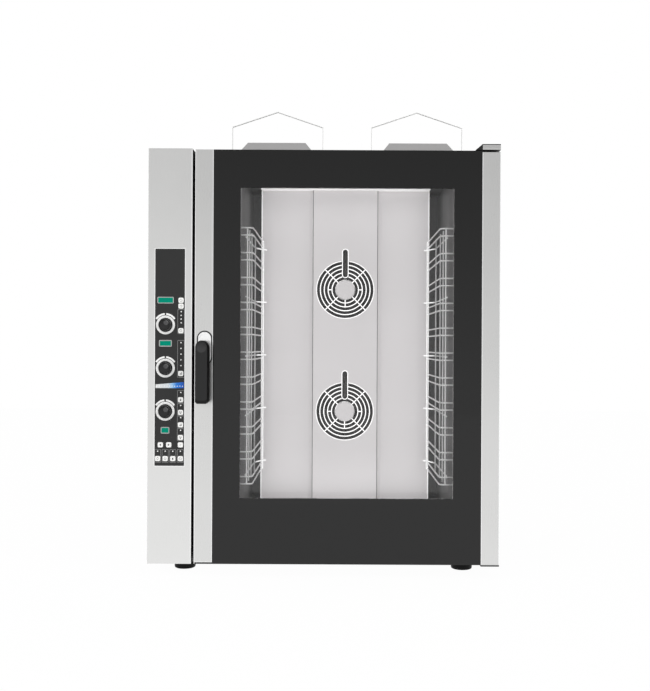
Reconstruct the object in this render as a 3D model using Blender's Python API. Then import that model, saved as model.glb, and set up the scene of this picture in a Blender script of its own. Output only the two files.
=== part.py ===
"""Free-standing combi steamer oven with a right-hinged glass door, as separate solids with the door shut.

Metres, +Z up, front toward -Y. The origin lies under the middle of the whole oven, on the floor.
"""

import math

import bmesh
import bpy
from mathutils import Matrix, Vector

# Casing
WIDTH = 0.935
CASE_HEIGHT = 1.109
CASE_DEPTH = 0.775
SHEET = 0.0015
BASE_SHEET = 0.002
BASE_UPSTAND = 0.015
FOOT_HEIGHT = 0.036
FOOT_RADIUS = 0.029
FOOT_INSET_X = 0.0835
FOOT_INSET_FRONT = 0.045
FOOT_INSET_REAR = 0.048
FITTING_REACH = 0.022
CLEAR = 0.0003

# Control column
COLUMN_WIDTH = 0.1175
COLUMN_DROP = 0.007
COLUMN_HEIGHT = CASE_HEIGHT - COLUMN_DROP
COLUMN_GAP = 0.0074
PANEL_MARGIN_LEFT = 0.0198
PANEL_MARGIN_RIGHT = 0.0189
PANEL_ABOVE_KNOBS = 0.202
PANEL_BELOW_KEYS = 0.0192
PANEL_THICK = 0.003
MIDDLE_KNOB_RISE = 0.519
KNOB_PITCH = 0.1145
KNOB_SHIFT_X = -0.0117
KNOB_RADIUS = 0.0170
KNOB_HEIGHT = 0.0185
KNOB_SHAFT_RADIUS = 0.0035
DISPLAY_RISE = 0.0656
LAST_DISPLAY_DROP = 0.0505
DISPLAY_HEIGHT = 0.0175
DISPLAY_WIDTHS = (0.0432, 0.0342, 0.0228)
KEY_WIDTH = 0.0140
KEY_HEIGHT = 0.0138
KEY_CORNER = 0.0030
KEY_PROUD = 0.0010
KEY_COLUMN_X = 0.0293
KEY_TRAVEL_ROOM = 0.0012
BOARD_SETBACK = 0.0110
BOARD_THICK = 0.0016

# Door
DOOR_DROP = 0.0095
DOOR_HEIGHT = CASE_HEIGHT - DOOR_DROP
DOOR_THICK = 0.060
SEAL_GAP = 0.013
PROFILE_WIDTH = 0.0485
PROFILE_WALL = 0.002
HINGE_PROFILE_DROP = 0.0035
GLASS_THICK = 0.006
INNER_GLASS_THICK = 0.005
FRAME_WALL = 0.002
FRAME_BORDER_SIDE = 0.050
FRAME_BORDER_TOP = 0.070
FRAME_BORDER_BOTTOM = 0.100
HINGE_PIN_RADIUS = 0.006
HINGE_PIN_LENGTH = 0.035
HINGE_SETBACK = 0.031

# Hinge brackets and latch
TOP_BRACKET_RISE = 0.0155
TOP_BRACKET_REACH = 0.125
WEDGE_WIDTH = 0.018
BOTTOM_BRACKET_THICK = 0.0037
BOTTOM_BRACKET_REACH = 0.160
HANDLE_RISE = 0.573
HANDLE_REACH = 0.060
LEVER_WIDTH = 0.0337
LEVER_LENGTH = 0.145
LEVER_DEPTH = 0.037
LEVER_CHAMFER = 0.005
BOSS_RADIUS = 0.020
HUB_RADIUS = 0.0125
SPINDLE_RADIUS = 0.007
ESCUTCHEON_WIDTH = 0.0345
ESCUTCHEON_LENGTH = 0.085
ESCUTCHEON_THICK = 0.003
CAM_THICK = 0.007
CAM_RADIUS = 0.013
CAM_REACH = 0.022
ROLLER_RADIUS = 0.005

# Cavity
CAVITY_WIDTH = 0.600
CAVITY_FLOOR_RISE = 0.094
CAVITY_CEILING_DROP = 0.042
CAVITY_DEPTH = 0.482
INSULATION = 0.030
GASKET_WIDTH = 0.014
GASKET_MARGIN = 0.005

# Fan baffle, fans, motors and heaters
FAN_LOW_RISE = 0.3757
FAN_PITCH = 0.3796
BAFFLE_WIDTH = 0.5254
BAFFLE_CHAMBER = 0.115
BAFFLE_SHEET = 0.0012
BAFFLE_CENTRE_WIDTH = 0.212
BAFFLE_RAISE = 0.012
BAFFLE_HEM = 0.012
RING_SLOTS = 5
GRILLE_INNER_RADIUS = 0.0313
RING_SLOT = 0.0078
RING_WEB = 0.0043
SPOKE_WIDTH = 0.0038
TUBE_SLOT_WIDTH = 0.0157
TUBE_SLOT_LOW = 0.039
TUBE_SLOT_HIGH = 0.1255
TUBE_SLOT_RIM = 0.0035
FAN_RADIUS = 0.100
FAN_DEPTH = 0.058
FAN_BLADES = 8
FAN_SHAFT_RADIUS = 0.009
FAN_BACK_GAP = 0.017
MOTOR_RADIUS = 0.062
MOTOR_LENGTH = 0.175
MOTOR_BOSS_RADIUS = 0.030
HEATER_RADIUS = 0.132
HEATER_TUBE = 0.0045

# Tray racks
RACK_SETBACK = 0.017
RACK_DEPTH = 0.325
RACK_LEVELS = 11
RACK_PITCH = 0.0685
RACK_FIRST_RISE = 0.1051
RAIL_GAP = 0.020
RAIL_SPACING = 0.516
POST_SPACING = 0.5468
POST_STEPS = (0.0, 0.060, 0.130, 0.243)
RACK_TIES = 5
WIRE_RADIUS = 0.0025
RAIL_BEND = 0.014

# Water, drain and vents
TUBE_RADIUS = 0.005
TUBE_RISE = 0.1125
DRAIN_RADIUS = 0.016
DRAIN_RISE = 0.040
GLAND_RADIUS = 0.012
VENT_SPACING = 0.4448
VENT_SETBACK = 0.427
VENT_OFFSET = 0.0033
VENT_WIDTH = 0.230
VENT_DEPTH = 0.144
VENT_TOP_WIDTH = 0.1812
VENT_WALL_HEIGHT = 0.0751
VENT_CONE_HEIGHT = 0.0344
VENT_STUB_WIDTH = 0.100
GUARD_WIDTH = 0.291
GUARD_EAVES = 0.170
GUARD_PEAK = 0.219
GUARD_DEPTH = 0.008
GUARD_SHEET = 0.002
GUARD_FOOT = 0.015

# Places that follow from the sizes above
DEPTH = HANDLE_REACH + DOOR_THICK + SEAL_GAP + CASE_DEPTH + FITTING_REACH
LEFT_X = -WIDTH / 2
RIGHT_X = WIDTH / 2
DOOR_Y = -DEPTH / 2 + HANDLE_REACH
DOOR_BACK_Y = DOOR_Y + DOOR_THICK
FACE_Y = DOOR_BACK_Y + SEAL_GAP
REAR_Y = FACE_Y + CASE_DEPTH
BASE_Z = FOOT_HEIGHT
ROOF_Z = BASE_Z + CASE_HEIGHT
COLUMN_RIGHT_X = LEFT_X + COLUMN_WIDTH
DOOR_LEFT_X = COLUMN_RIGHT_X + COLUMN_GAP
DOOR_TOP_Z = BASE_Z + DOOR_HEIGHT
CAVITY_X = (DOOR_LEFT_X + RIGHT_X) / 2
CAVITY_LEFT_X = CAVITY_X - CAVITY_WIDTH / 2
CAVITY_RIGHT_X = CAVITY_X + CAVITY_WIDTH / 2
FLOOR_Z = BASE_Z + CAVITY_FLOOR_RISE
CEILING_Z = ROOF_Z - CAVITY_CEILING_DROP
BACK_Y = FACE_Y + CAVITY_DEPTH
JACKET_BACK_Y = BACK_Y + SHEET + CLEAR + INSULATION
BAFFLE_Y = BACK_Y - BAFFLE_CHAMBER
FAN_ZS = (BASE_Z + FAN_LOW_RISE, BASE_Z + FAN_LOW_RISE + FAN_PITCH)
VENT_XS = (CAVITY_X + VENT_OFFSET - VENT_SPACING / 2, CAVITY_X + VENT_OFFSET + VENT_SPACING / 2)
VENT_Y = FACE_Y + VENT_SETBACK
HINGE_X = RIGHT_X - PROFILE_WIDTH / 2
HINGE_Y = DOOR_Y + HINGE_SETBACK
HANDLE_X = DOOR_LEFT_X + PROFILE_WIDTH * 0.55
HANDLE_Z = BASE_Z + HANDLE_RISE
PANEL_LEFT_X = LEFT_X + PANEL_MARGIN_LEFT
PANEL_RIGHT_X = COLUMN_RIGHT_X - PANEL_MARGIN_RIGHT
PANEL_X = (PANEL_LEFT_X + PANEL_RIGHT_X) / 2
KNOB_X = PANEL_X + KNOB_SHIFT_X
MIDDLE_KNOB_Z = BASE_Z + MIDDLE_KNOB_RISE
KNOB_ZS = (MIDDLE_KNOB_Z + KNOB_PITCH, MIDDLE_KNOB_Z, MIDDLE_KNOB_Z - KNOB_PITCH)
DISPLAY_ZS = (KNOB_ZS[0] + DISPLAY_RISE, KNOB_ZS[1] + DISPLAY_RISE, KNOB_ZS[2] - LAST_DISPLAY_DROP)
DRAIN_Y = (FACE_Y + BAFFLE_Y) / 2 + 0.04
DRAIN_Z = BASE_Z + DRAIN_RISE
MANIFOLD_X = CAVITY_X + MOTOR_RADIUS + 0.030
MANIFOLD_Y = JACKET_BACK_Y + 0.030
INLET_Z = (FAN_ZS[0] + FAN_ZS[1]) / 2 + 0.060
GLAND_X = LEFT_X + 0.090
GLAND_Z = BASE_Z + 0.090

# Each key's place: how far it lies right of the panel's middle, which knob it is level with, and how far above that
KEYS = {
    "key_hours": (KEY_COLUMN_X, 0, 0.0654),
    "key_minutes": (KEY_COLUMN_X, 0, 0.0500),
    "key_timer": (KEY_COLUMN_X, 0, -0.0152),
    "key_temperature": (KEY_COLUMN_X, 1, -0.0143),
    "key_steam": (KEY_COLUMN_X, 2, 0.0305),
    "key_fan_speed": (KEY_COLUMN_X, 2, -0.0029),
    "key_preheat": (KEY_COLUMN_X, 2, -0.0359),
    "key_cool_down": (KEY_COLUMN_X, 2, -0.0694),
    "key_confirm": (KEY_COLUMN_X, 2, -0.0891),
    "key_next": (-0.0017, 2, -0.0891),
    "key_previous": (-0.0240, 2, -0.0891),
    "key_light": (-0.0310, 2, -0.1256),
    "key_vent": (-0.0109, 2, -0.1256),
    "key_rinse": (0.0092, 2, -0.1256),
    "key_start": (KEY_COLUMN_X, 2, -0.1256),
}
KEY_PLACES = {name: (PANEL_X + dx, KNOB_ZS[knob] + dz) for name, (dx, knob, dz) in KEYS.items()}
PANEL_TOP_Z = KNOB_ZS[0] + PANEL_ABOVE_KNOBS
PANEL_BOTTOM_Z = KEY_PLACES["key_start"][1] - PANEL_BELOW_KEYS


def make_material(name, colour, roughness, metallic=0.0, alpha=1.0):
    """Make a plain Principled material."""
    made = bpy.data.materials.new(name)
    made.use_nodes = True
    shader = made.node_tree.nodes["Principled BSDF"]
    shader.inputs["Base Color"].default_value = (*colour, 1.0)
    shader.inputs["Roughness"].default_value = roughness
    shader.inputs["Metallic"].default_value = metallic
    shader.inputs["Alpha"].default_value = alpha
    made.diffuse_color = (*colour, 1.0)
    return made


def place(axis, u, v, w):
    """Return the point with plane coordinates u and v at w along an axis."""
    return {"x": (w, u, v), "y": (u, w, v), "z": (u, v, w)}[axis]


def rectangle(u0, v0, u1, v1):
    """Return the four corners of a rectangle."""
    return [(u0, v0), (u1, v0), (u1, v1), (u0, v1)]


def rounded_rectangle(u, v, width, height, corner, steps=3):
    """Return a rectangle about a middle, with rounded corners."""
    points = []
    middles = ((1, 1, 0), (-1, 1, 90), (-1, -1, 180), (1, -1, 270))
    for side_u, side_v, start in middles:
        for step in range(steps + 1):
            angle = math.radians(start + 90 * step / steps)
            points.append((
                u + side_u * (width / 2 - corner) + corner * math.cos(angle),
                v + side_v * (height / 2 - corner) + corner * math.sin(angle),
            ))
    return points


def circle(u, v, radius, steps):
    """Return points around a circle."""
    angles = [2 * math.pi * step / steps for step in range(steps)]
    return [(u + radius * math.cos(a), v + radius * math.sin(a)) for a in angles]


def add_box(bm, low, high):
    """Add a box between two corners."""
    low = Vector(low)
    high = Vector(high)
    matrix = Matrix.Translation((low + high) / 2) @ Matrix.Diagonal((high - low).to_4d())
    bmesh.ops.create_cube(bm, size=1.0, matrix=matrix)


def add_plate(bm, axis, low, high, outline, holes=()):
    """Add a flat plate with an outline and through holes, between two places along an axis."""
    edges = []
    for loop in (outline, *holes):
        verts = [bm.verts.new(place(axis, u, v, low)) for u, v in loop]
        edges += [bm.edges.new((verts[i - 1], verts[i])) for i in range(len(verts))]
    filled = bmesh.ops.triangle_fill(bm, use_beauty=True, use_dissolve=False, edges=edges)
    faces = [item for item in filled["geom"] if isinstance(item, bmesh.types.BMFace)]
    grown = bmesh.ops.extrude_face_region(bm, geom=faces)
    moved = [item for item in grown["geom"] if isinstance(item, bmesh.types.BMVert)]
    bmesh.ops.translate(bm, verts=moved, vec=place(axis, 0.0, 0.0, high - low))


def add_lathe(bm, axis, centre, profile, steps):
    """Add a profile of radius and place along an axis, spun around that axis."""
    verts = [bm.verts.new(place(axis, centre[0] + radius, centre[1], along)) for radius, along in profile]
    edges = [bm.edges.new((verts[i], verts[i + 1])) for i in range(len(verts) - 1)]
    bmesh.ops.spin(
        bm,
        geom=verts + edges,
        cent=place(axis, centre[0], centre[1], 0.0),
        axis=place(axis, 0.0, 0.0, 1.0),
        angle=2 * math.pi,
        steps=steps,
        use_merge=True,
    )
    bmesh.ops.remove_doubles(bm, verts=bm.verts, dist=1e-6)


def add_tube(bm, points, radius, resolution):
    """Add a round tube or wire along a line of points, with closed ends."""
    curve = bpy.data.curves.new("tube_path", "CURVE")
    curve.dimensions = "3D"
    curve.bevel_depth = radius
    curve.bevel_resolution = resolution
    curve.use_fill_caps = True
    line = curve.splines.new("POLY")
    line.points.add(len(points) - 1)
    for point, where in zip(line.points, points):
        point.co = (*where, 1.0)
    holder = bpy.data.objects.new("tube_path", curve)
    bpy.context.collection.objects.link(holder)
    graph = bpy.context.evaluated_depsgraph_get()
    mesh = bpy.data.meshes.new_from_object(holder.evaluated_get(graph))
    bm.from_mesh(mesh)
    bmesh.ops.remove_doubles(bm, verts=bm.verts, dist=1e-6)
    bpy.data.objects.remove(holder)


def bend(corner, before, after, radius, steps=3):
    """Return points round a corner of a path, from the side of one neighbour to the side of the other."""
    corner = Vector(corner)
    to_before = (Vector(before) - corner).normalized()
    to_after = (Vector(after) - corner).normalized()
    half = to_before.angle(to_after) / 2
    cut = radius / math.tan(half)
    middle = corner + (to_before + to_after).normalized() * radius / math.sin(half)
    start = corner + to_before * cut - middle
    end = corner + to_after * cut - middle
    turn = math.pi - 2 * half
    shares = [step / steps for step in range(steps + 1)]
    arc = [start * math.sin((1 - share) * turn) + end * math.sin(share * turn) for share in shares]
    return [tuple(middle + point / math.sin(turn)) for point in arc]


def add_sheet(bm, rings, capped):
    """Add an open sheet through a row of four-cornered rings. The front-most face across Y is turned to the front."""
    rows = [[bm.verts.new(point) for point in ring] for ring in rings]
    for first, second in zip(rows, rows[1:]):
        for i in range(len(first)):
            bm.faces.new((first[i - 1], first[i], second[i], second[i - 1]))
    if capped:
        bm.faces.new(rows[-1])
    bmesh.ops.recalc_face_normals(bm, faces=bm.faces)
    bm.normal_update()
    across = [face for face in bm.faces if abs(face.normal.y) > 0.9]
    front = min(across, key=lambda face: face.calc_center_median().y)
    if front.normal.y > 0:
        bmesh.ops.reverse_faces(bm, faces=bm.faces)


def ring_xz(y, x0, z0, x1, z1):
    """Return a four-cornered ring across Y."""
    return [(u, y, v) for u, v in rectangle(x0, z0, x1, z1)]


def ring_xy(z, x, y, half_x, half_y):
    """Return a rectangular ring across Z about a middle."""
    return [(u, v, z) for u, v in rectangle(x - half_x, y - half_y, x + half_x, y + half_y)]


def link(name, bm, pivot):
    """Link a mesh as an object with its origin at the pivot."""
    bmesh.ops.translate(bm, verts=bm.verts, vec=-Vector(pivot))
    mesh = bpy.data.meshes.new(name)
    bm.to_mesh(mesh)
    bm.free()
    made = bpy.data.objects.new(name, mesh)
    made.location = pivot
    bpy.context.collection.objects.link(made)
    return made


def solid(name, bm, material, pivot=(0.0, 0.0, 0.0)):
    """Make a closed solid."""
    bmesh.ops.recalc_face_normals(bm, faces=bm.faces)
    made = link(name, bm, pivot)
    made.data.materials.append(material)
    return made


def sheet_solid(name, bm, material, thickness):
    """Make an open sheet into a closed solid that lies behind the sheet's front side."""
    made = link(name, bm, (0.0, 0.0, 0.0))
    made.data.materials.append(material)
    thicken = made.modifiers.new("thickness", "SOLIDIFY")
    thicken.thickness = thickness
    thicken.offset = -1.0
    thicken.solidify_mode = "NON_MANIFOLD"
    thicken.nonmanifold_thickness_mode = "CONSTRAINTS"
    return made


def helper(name, bm, pivot=(0.0, 0.0, 0.0)):
    """Make a hidden shape for a Boolean."""
    bmesh.ops.recalc_face_normals(bm, faces=bm.faces)
    made = link(name, bm, pivot)
    made.hide_render = True
    made.display_type = "WIRE"
    return made


def combine(target, other, operation):
    """Add or cut a helper."""
    step = target.modifiers.new(operation.lower(), "BOOLEAN")
    step.operation = operation
    step.solver = "EXACT"
    step.object = other


def make_base(material):
    """Base pan: a flat sheet with a rear upstand."""
    bm = bmesh.new()
    x0 = LEFT_X + SHEET + CLEAR
    x1 = RIGHT_X - SHEET - CLEAR
    y1 = REAR_Y - SHEET - CLEAR
    top = BASE_Z + BASE_SHEET
    section = [
        (FACE_Y, BASE_Z), (y1, BASE_Z), (y1, top + BASE_UPSTAND), (y1 - BASE_SHEET, top + BASE_UPSTAND),
        (y1 - BASE_SHEET, top), (FACE_Y, top),
    ]
    add_plate(bm, "x", x0, x1, section)
    solid("base_pan", bm, material)


def make_feet(material):
    """Four feet under the base pan."""
    places = {
        "foot_front_left": (LEFT_X + FOOT_INSET_X, FACE_Y + FOOT_INSET_FRONT),
        "foot_front_right": (RIGHT_X - FOOT_INSET_X, FACE_Y + FOOT_INSET_FRONT),
        "foot_rear_left": (LEFT_X + FOOT_INSET_X, REAR_Y - FOOT_INSET_REAR),
        "foot_rear_right": (RIGHT_X - FOOT_INSET_X, REAR_Y - FOOT_INSET_REAR),
    }
    profile = [
        (0.0, 0.0), (FOOT_RADIUS - 0.0035, 0.0), (FOOT_RADIUS, 0.004),
        (FOOT_RADIUS, FOOT_HEIGHT - CLEAR), (0.0, FOOT_HEIGHT - CLEAR),
    ]
    for name, where in places.items():
        bm = bmesh.new()
        add_lathe(bm, "z", where, profile, 20)
        solid(name, bm, material)


def make_panels(material):
    """Side, rear and roof panels."""
    side_y0 = FACE_Y + CLEAR
    side_y1 = REAR_Y - SHEET - CLEAR
    side_z1 = ROOF_Z - SHEET - CLEAR
    for name, x in (("side_panel_left", LEFT_X), ("side_panel_right", RIGHT_X - SHEET)):
        bm = bmesh.new()
        add_box(bm, (x, side_y0, BASE_Z), (x + SHEET, side_y1, side_z1))
        solid(name, bm, material)

    louvres = []
    for row in range(6):
        z = ROOF_Z - 0.12 - 0.03 * row
        for x in (-0.20, 0.20):
            louvres.append(rectangle(x - 0.08, z - 0.004, x + 0.08, z + 0.004))
    holes = [
        circle(CAVITY_X, DRAIN_Z, DRAIN_RADIUS + 2 * CLEAR, 16),
        circle(MANIFOLD_X, INLET_Z, TUBE_RADIUS + CLEAR, 12),
        circle(GLAND_X, GLAND_Z, GLAND_RADIUS + CLEAR, 16),
    ]
    bm = bmesh.new()
    outline = rectangle(LEFT_X, BASE_Z, RIGHT_X, ROOF_Z - SHEET - CLEAR)
    add_plate(bm, "y", REAR_Y - SHEET, REAR_Y, outline, holes + louvres)
    solid("rear_panel", bm, material)

    half = VENT_STUB_WIDTH / 2 + CLEAR
    holes = [rectangle(x - half, VENT_Y - half, x + half, VENT_Y + half) for x in VENT_XS]
    bm = bmesh.new()
    add_plate(bm, "z", ROOF_Z - SHEET, ROOF_Z, rectangle(LEFT_X, FACE_Y, RIGHT_X, REAR_Y), holes)
    solid("roof_panel", bm, material)


def make_column(steel, overlay, board, knob, key):
    """Control column: fascia, keypad overlay, board with displays, knobs and keys."""
    cut = CLEAR
    window = (PANEL_LEFT_X - cut, PANEL_BOTTOM_Z - cut, PANEL_RIGHT_X + cut, PANEL_TOP_Z + cut)
    whole = (LEFT_X, BASE_Z, COLUMN_RIGHT_X, BASE_Z + COLUMN_HEIGHT)
    bm = bmesh.new()
    add_sheet(bm, [ring_xz(DOOR_Y, *window), ring_xz(DOOR_Y, *whole), ring_xz(FACE_Y - CLEAR, *whole)], False)
    sheet_solid("control_fascia", bm, steel, SHEET)

    holes = [circle(KNOB_X, z, KNOB_SHAFT_RADIUS + CLEAR, 12) for z in KNOB_ZS]
    half = DISPLAY_HEIGHT / 2
    for z, width in zip(DISPLAY_ZS, DISPLAY_WIDTHS):
        holes.append(rectangle(KNOB_X - width / 2 - cut, z - half - cut, KNOB_X + width / 2 + cut, z + half + cut))
    for x, z in KEY_PLACES.values():
        holes.append(rounded_rectangle(x, z, KEY_WIDTH + 2 * cut, KEY_HEIGHT + 2 * cut, KEY_CORNER + cut, 2))
    bm = bmesh.new()
    outline = rectangle(PANEL_LEFT_X, PANEL_BOTTOM_Z, PANEL_RIGHT_X, PANEL_TOP_Z)
    add_plate(bm, "y", DOOR_Y, DOOR_Y + PANEL_THICK, outline, holes)
    solid("keypad_overlay", bm, overlay)

    bm = bmesh.new()
    board_y = DOOR_Y + BOARD_SETBACK
    low = (PANEL_LEFT_X + 0.003, board_y, PANEL_BOTTOM_Z + 0.006)
    high = (PANEL_RIGHT_X - 0.003, board_y + BOARD_THICK, PANEL_TOP_Z - 0.006)
    add_box(bm, low, high)
    made = solid("control_board", bm, board)
    bm = bmesh.new()
    for z, width in zip(DISPLAY_ZS, DISPLAY_WIDTHS):
        low = (KNOB_X - width / 2, DOOR_Y + 0.0005, z - half)
        add_box(bm, low, (KNOB_X + width / 2, board_y + BOARD_THICK / 2, z + half))
    combine(made, helper("display_blocks", bm), "UNION")

    front = DOOR_Y - KNOB_HEIGHT
    back = DOOR_Y + BOARD_SETBACK - KEY_TRAVEL_ROOM
    seat = DOOR_Y - 0.0008
    profile = [
        (0.0, front), (KNOB_RADIUS - 0.0025, front), (KNOB_RADIUS - 0.0008, front + 0.0015), (KNOB_RADIUS, seat),
        (KNOB_SHAFT_RADIUS, seat), (KNOB_SHAFT_RADIUS, back), (0.0, back),
    ]
    for name, z in zip(("knob_time", "knob_temperature", "knob_humidity"), KNOB_ZS):
        bm = bmesh.new()
        add_lathe(bm, "y", (KNOB_X, z), profile, 20)
        solid(name, bm, knob, (KNOB_X, DOOR_Y, z))

    for name, (x, z) in KEY_PLACES.items():
        bm = bmesh.new()
        outline = rounded_rectangle(x, z, KEY_WIDTH, KEY_HEIGHT, KEY_CORNER, 2)
        add_plate(bm, "y", DOOR_Y - KEY_PROUD, back, outline)
        solid(name, bm, key, (x, DOOR_Y, z))


def make_cavity(steel, wool, rubber):
    """Cavity liner with its front flange, the insulation around it and the door gasket."""
    flange = (COLUMN_RIGHT_X - SHEET, BASE_Z + BASE_SHEET + CLEAR, RIGHT_X - SHEET - CLEAR, ROOF_Z - SHEET - CLEAR)
    hollow = (CAVITY_LEFT_X, FLOOR_Z, CAVITY_RIGHT_X, CEILING_Z)
    bm = bmesh.new()
    rings = [ring_xz(FACE_Y, *flange), ring_xz(FACE_Y, *hollow), ring_xz(BACK_Y, *hollow)]
    add_sheet(bm, rings, True)
    liner = sheet_solid("cavity_liner", bm, steel, SHEET)

    out = SHEET + CLEAR
    around = (CAVITY_LEFT_X - out, FLOOR_Z - out, CAVITY_RIGHT_X + out, CEILING_Z + out)
    bm = bmesh.new()
    add_sheet(bm, [ring_xz(FACE_Y + out, *around), ring_xz(BACK_Y + out, *around)], True)
    jacket = sheet_solid("insulation_jacket", bm, wool, INSULATION)

    y0 = BACK_Y - 0.01
    y1 = JACKET_BACK_Y + 0.01
    liner_cut = bmesh.new()
    jacket_cut = bmesh.new()
    for z in FAN_ZS:
        bore = FAN_SHAFT_RADIUS + 0.003
        add_lathe(liner_cut, "y", (CAVITY_X, z), [(0, y0), (bore, y0), (bore, y1), (0, y1)], 16)
        boss = MOTOR_BOSS_RADIUS + CLEAR
        add_lathe(jacket_cut, "y", (CAVITY_X, z), [(0, y0), (boss, y0), (boss, y1), (0, y1)], 20)
        ends = [(CAVITY_X, z + TUBE_RISE, TUBE_RADIUS)]
        ends += [(x, tip_z, HEATER_TUBE) for x, tip_z in heater_tips(z)]
        for x, end_z, radius in ends:
            wide = radius + CLEAR
            for cut in (liner_cut, jacket_cut):
                add_lathe(cut, "y", (x, end_z), [(0, y0), (wide, y0), (wide, y1), (0, y1)], 12)
    half = VENT_STUB_WIDTH / 2
    for x in VENT_XS:
        for cut, h in ((liner_cut, half - 0.004), (jacket_cut, half + CLEAR)):
            add_box(cut, (x - h, VENT_Y - h, CEILING_Z - 0.01), (x + h, VENT_Y + h, ROOF_Z))
    wide = DRAIN_RADIUS + 2 * CLEAR
    low = FLOOR_Z - INSULATION - 0.01
    high = FLOOR_Z + 0.005
    for cut in (liner_cut, jacket_cut):
        add_lathe(cut, "z", (CAVITY_X, DRAIN_Y), [(0, low), (wide, low), (wide, high), (0, high)], 16)
    combine(liner, helper("liner_holes", liner_cut), "DIFFERENCE")
    combine(jacket, helper("jacket_holes", jacket_cut), "DIFFERENCE")

    margin = GASKET_MARGIN
    inner = rectangle(CAVITY_LEFT_X - margin, FLOOR_Z - margin, CAVITY_RIGHT_X + margin, CEILING_Z + margin)
    margin += GASKET_WIDTH
    outer = rectangle(CAVITY_LEFT_X - margin, FLOOR_Z - margin, CAVITY_RIGHT_X + margin, CEILING_Z + margin)
    bm = bmesh.new()
    add_plate(bm, "y", DOOR_BACK_Y + CLEAR, FACE_Y - CLEAR, outer, [inner])
    solid("door_gasket", bm, rubber)


def heater_tips(fan_z):
    """Return where a heater's two ends pass through the back wall."""
    tips = []
    for degrees in (232, 248):
        angle = math.radians(degrees)
        tips.append((CAVITY_X + HEATER_RADIUS * math.cos(angle), fan_z + HEATER_RADIUS * math.sin(angle)))
    return tips


def ring_arc(fan_z, inner, outer, start, end):
    """Return the outline of one arc-shaped slot, its ends given as angles."""
    steps = max(3, round((end - start) * outer / 0.024))
    angles = [start + (end - start) * step / steps for step in range(steps + 1)]
    far = [(CAVITY_X + outer * math.cos(a), fan_z + outer * math.sin(a)) for a in angles]
    near = [(CAVITY_X + inner * math.cos(a), fan_z + inner * math.sin(a)) for a in reversed(angles)]
    return far + near


def make_baffle(material):
    """Fan baffle: one folded sheet with two slotted grilles and a slot for each injection tube."""
    half = BAFFLE_WIDTH / 2
    step = BAFFLE_CENTRE_WIDTH / 2
    y = BAFFLE_Y
    plan = [
        (-half, y + BAFFLE_HEM), (-half, y), (-step - BAFFLE_RAISE, y), (-step, y - BAFFLE_RAISE),
        (step, y - BAFFLE_RAISE), (step + BAFFLE_RAISE, y), (half, y), (half, y + BAFFLE_HEM),
    ]
    low = FLOOR_Z + 0.0005
    high = CEILING_Z - 0.0005
    bm = bmesh.new()
    lows = [bm.verts.new((CAVITY_X + u, v, low)) for u, v in plan]
    highs = [bm.verts.new((CAVITY_X + u, v, high)) for u, v in plan]
    for i in range(len(plan) - 1):
        bm.faces.new((lows[i], lows[i + 1], highs[i + 1], highs[i]))
    baffle = sheet_solid("fan_baffle", bm, material, BAFFLE_SHEET)

    y0 = y - BAFFLE_RAISE - 0.004
    y1 = y - BAFFLE_RAISE + 0.004
    bm = bmesh.new()
    for fan_z in FAN_ZS:
        inner = GRILLE_INNER_RADIUS
        for ring in range(RING_SLOTS):
            outer = inner + RING_SLOT
            spoke = math.asin(SPOKE_WIDTH / 2 / inner)
            beside = math.asin((TUBE_SLOT_WIDTH / 2 + TUBE_SLOT_RIM) / inner)
            right = math.radians(45)
            quarters = [(right + spoke, math.radians(90) - beside), (math.radians(90) + beside, 3 * right - spoke)]
            quarters += [(n * right + spoke, (n + 2) * right - spoke) for n in (3, 5, 7)]
            for start, end in quarters:
                if end - start > 0.1:
                    add_plate(bm, "y", y0, y1, ring_arc(fan_z, inner, outer, start, end))
            inner = outer + RING_WEB
        middle = fan_z + (TUBE_SLOT_LOW + TUBE_SLOT_HIGH) / 2
        length = TUBE_SLOT_HIGH - TUBE_SLOT_LOW
        slot = rounded_rectangle(CAVITY_X, middle, TUBE_SLOT_WIDTH, length, TUBE_SLOT_WIDTH * 0.49, 3)
        add_plate(bm, "y", y0, y1, slot)
    combine(baffle, helper("grille_slots", bm), "DIFFERENCE")


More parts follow.
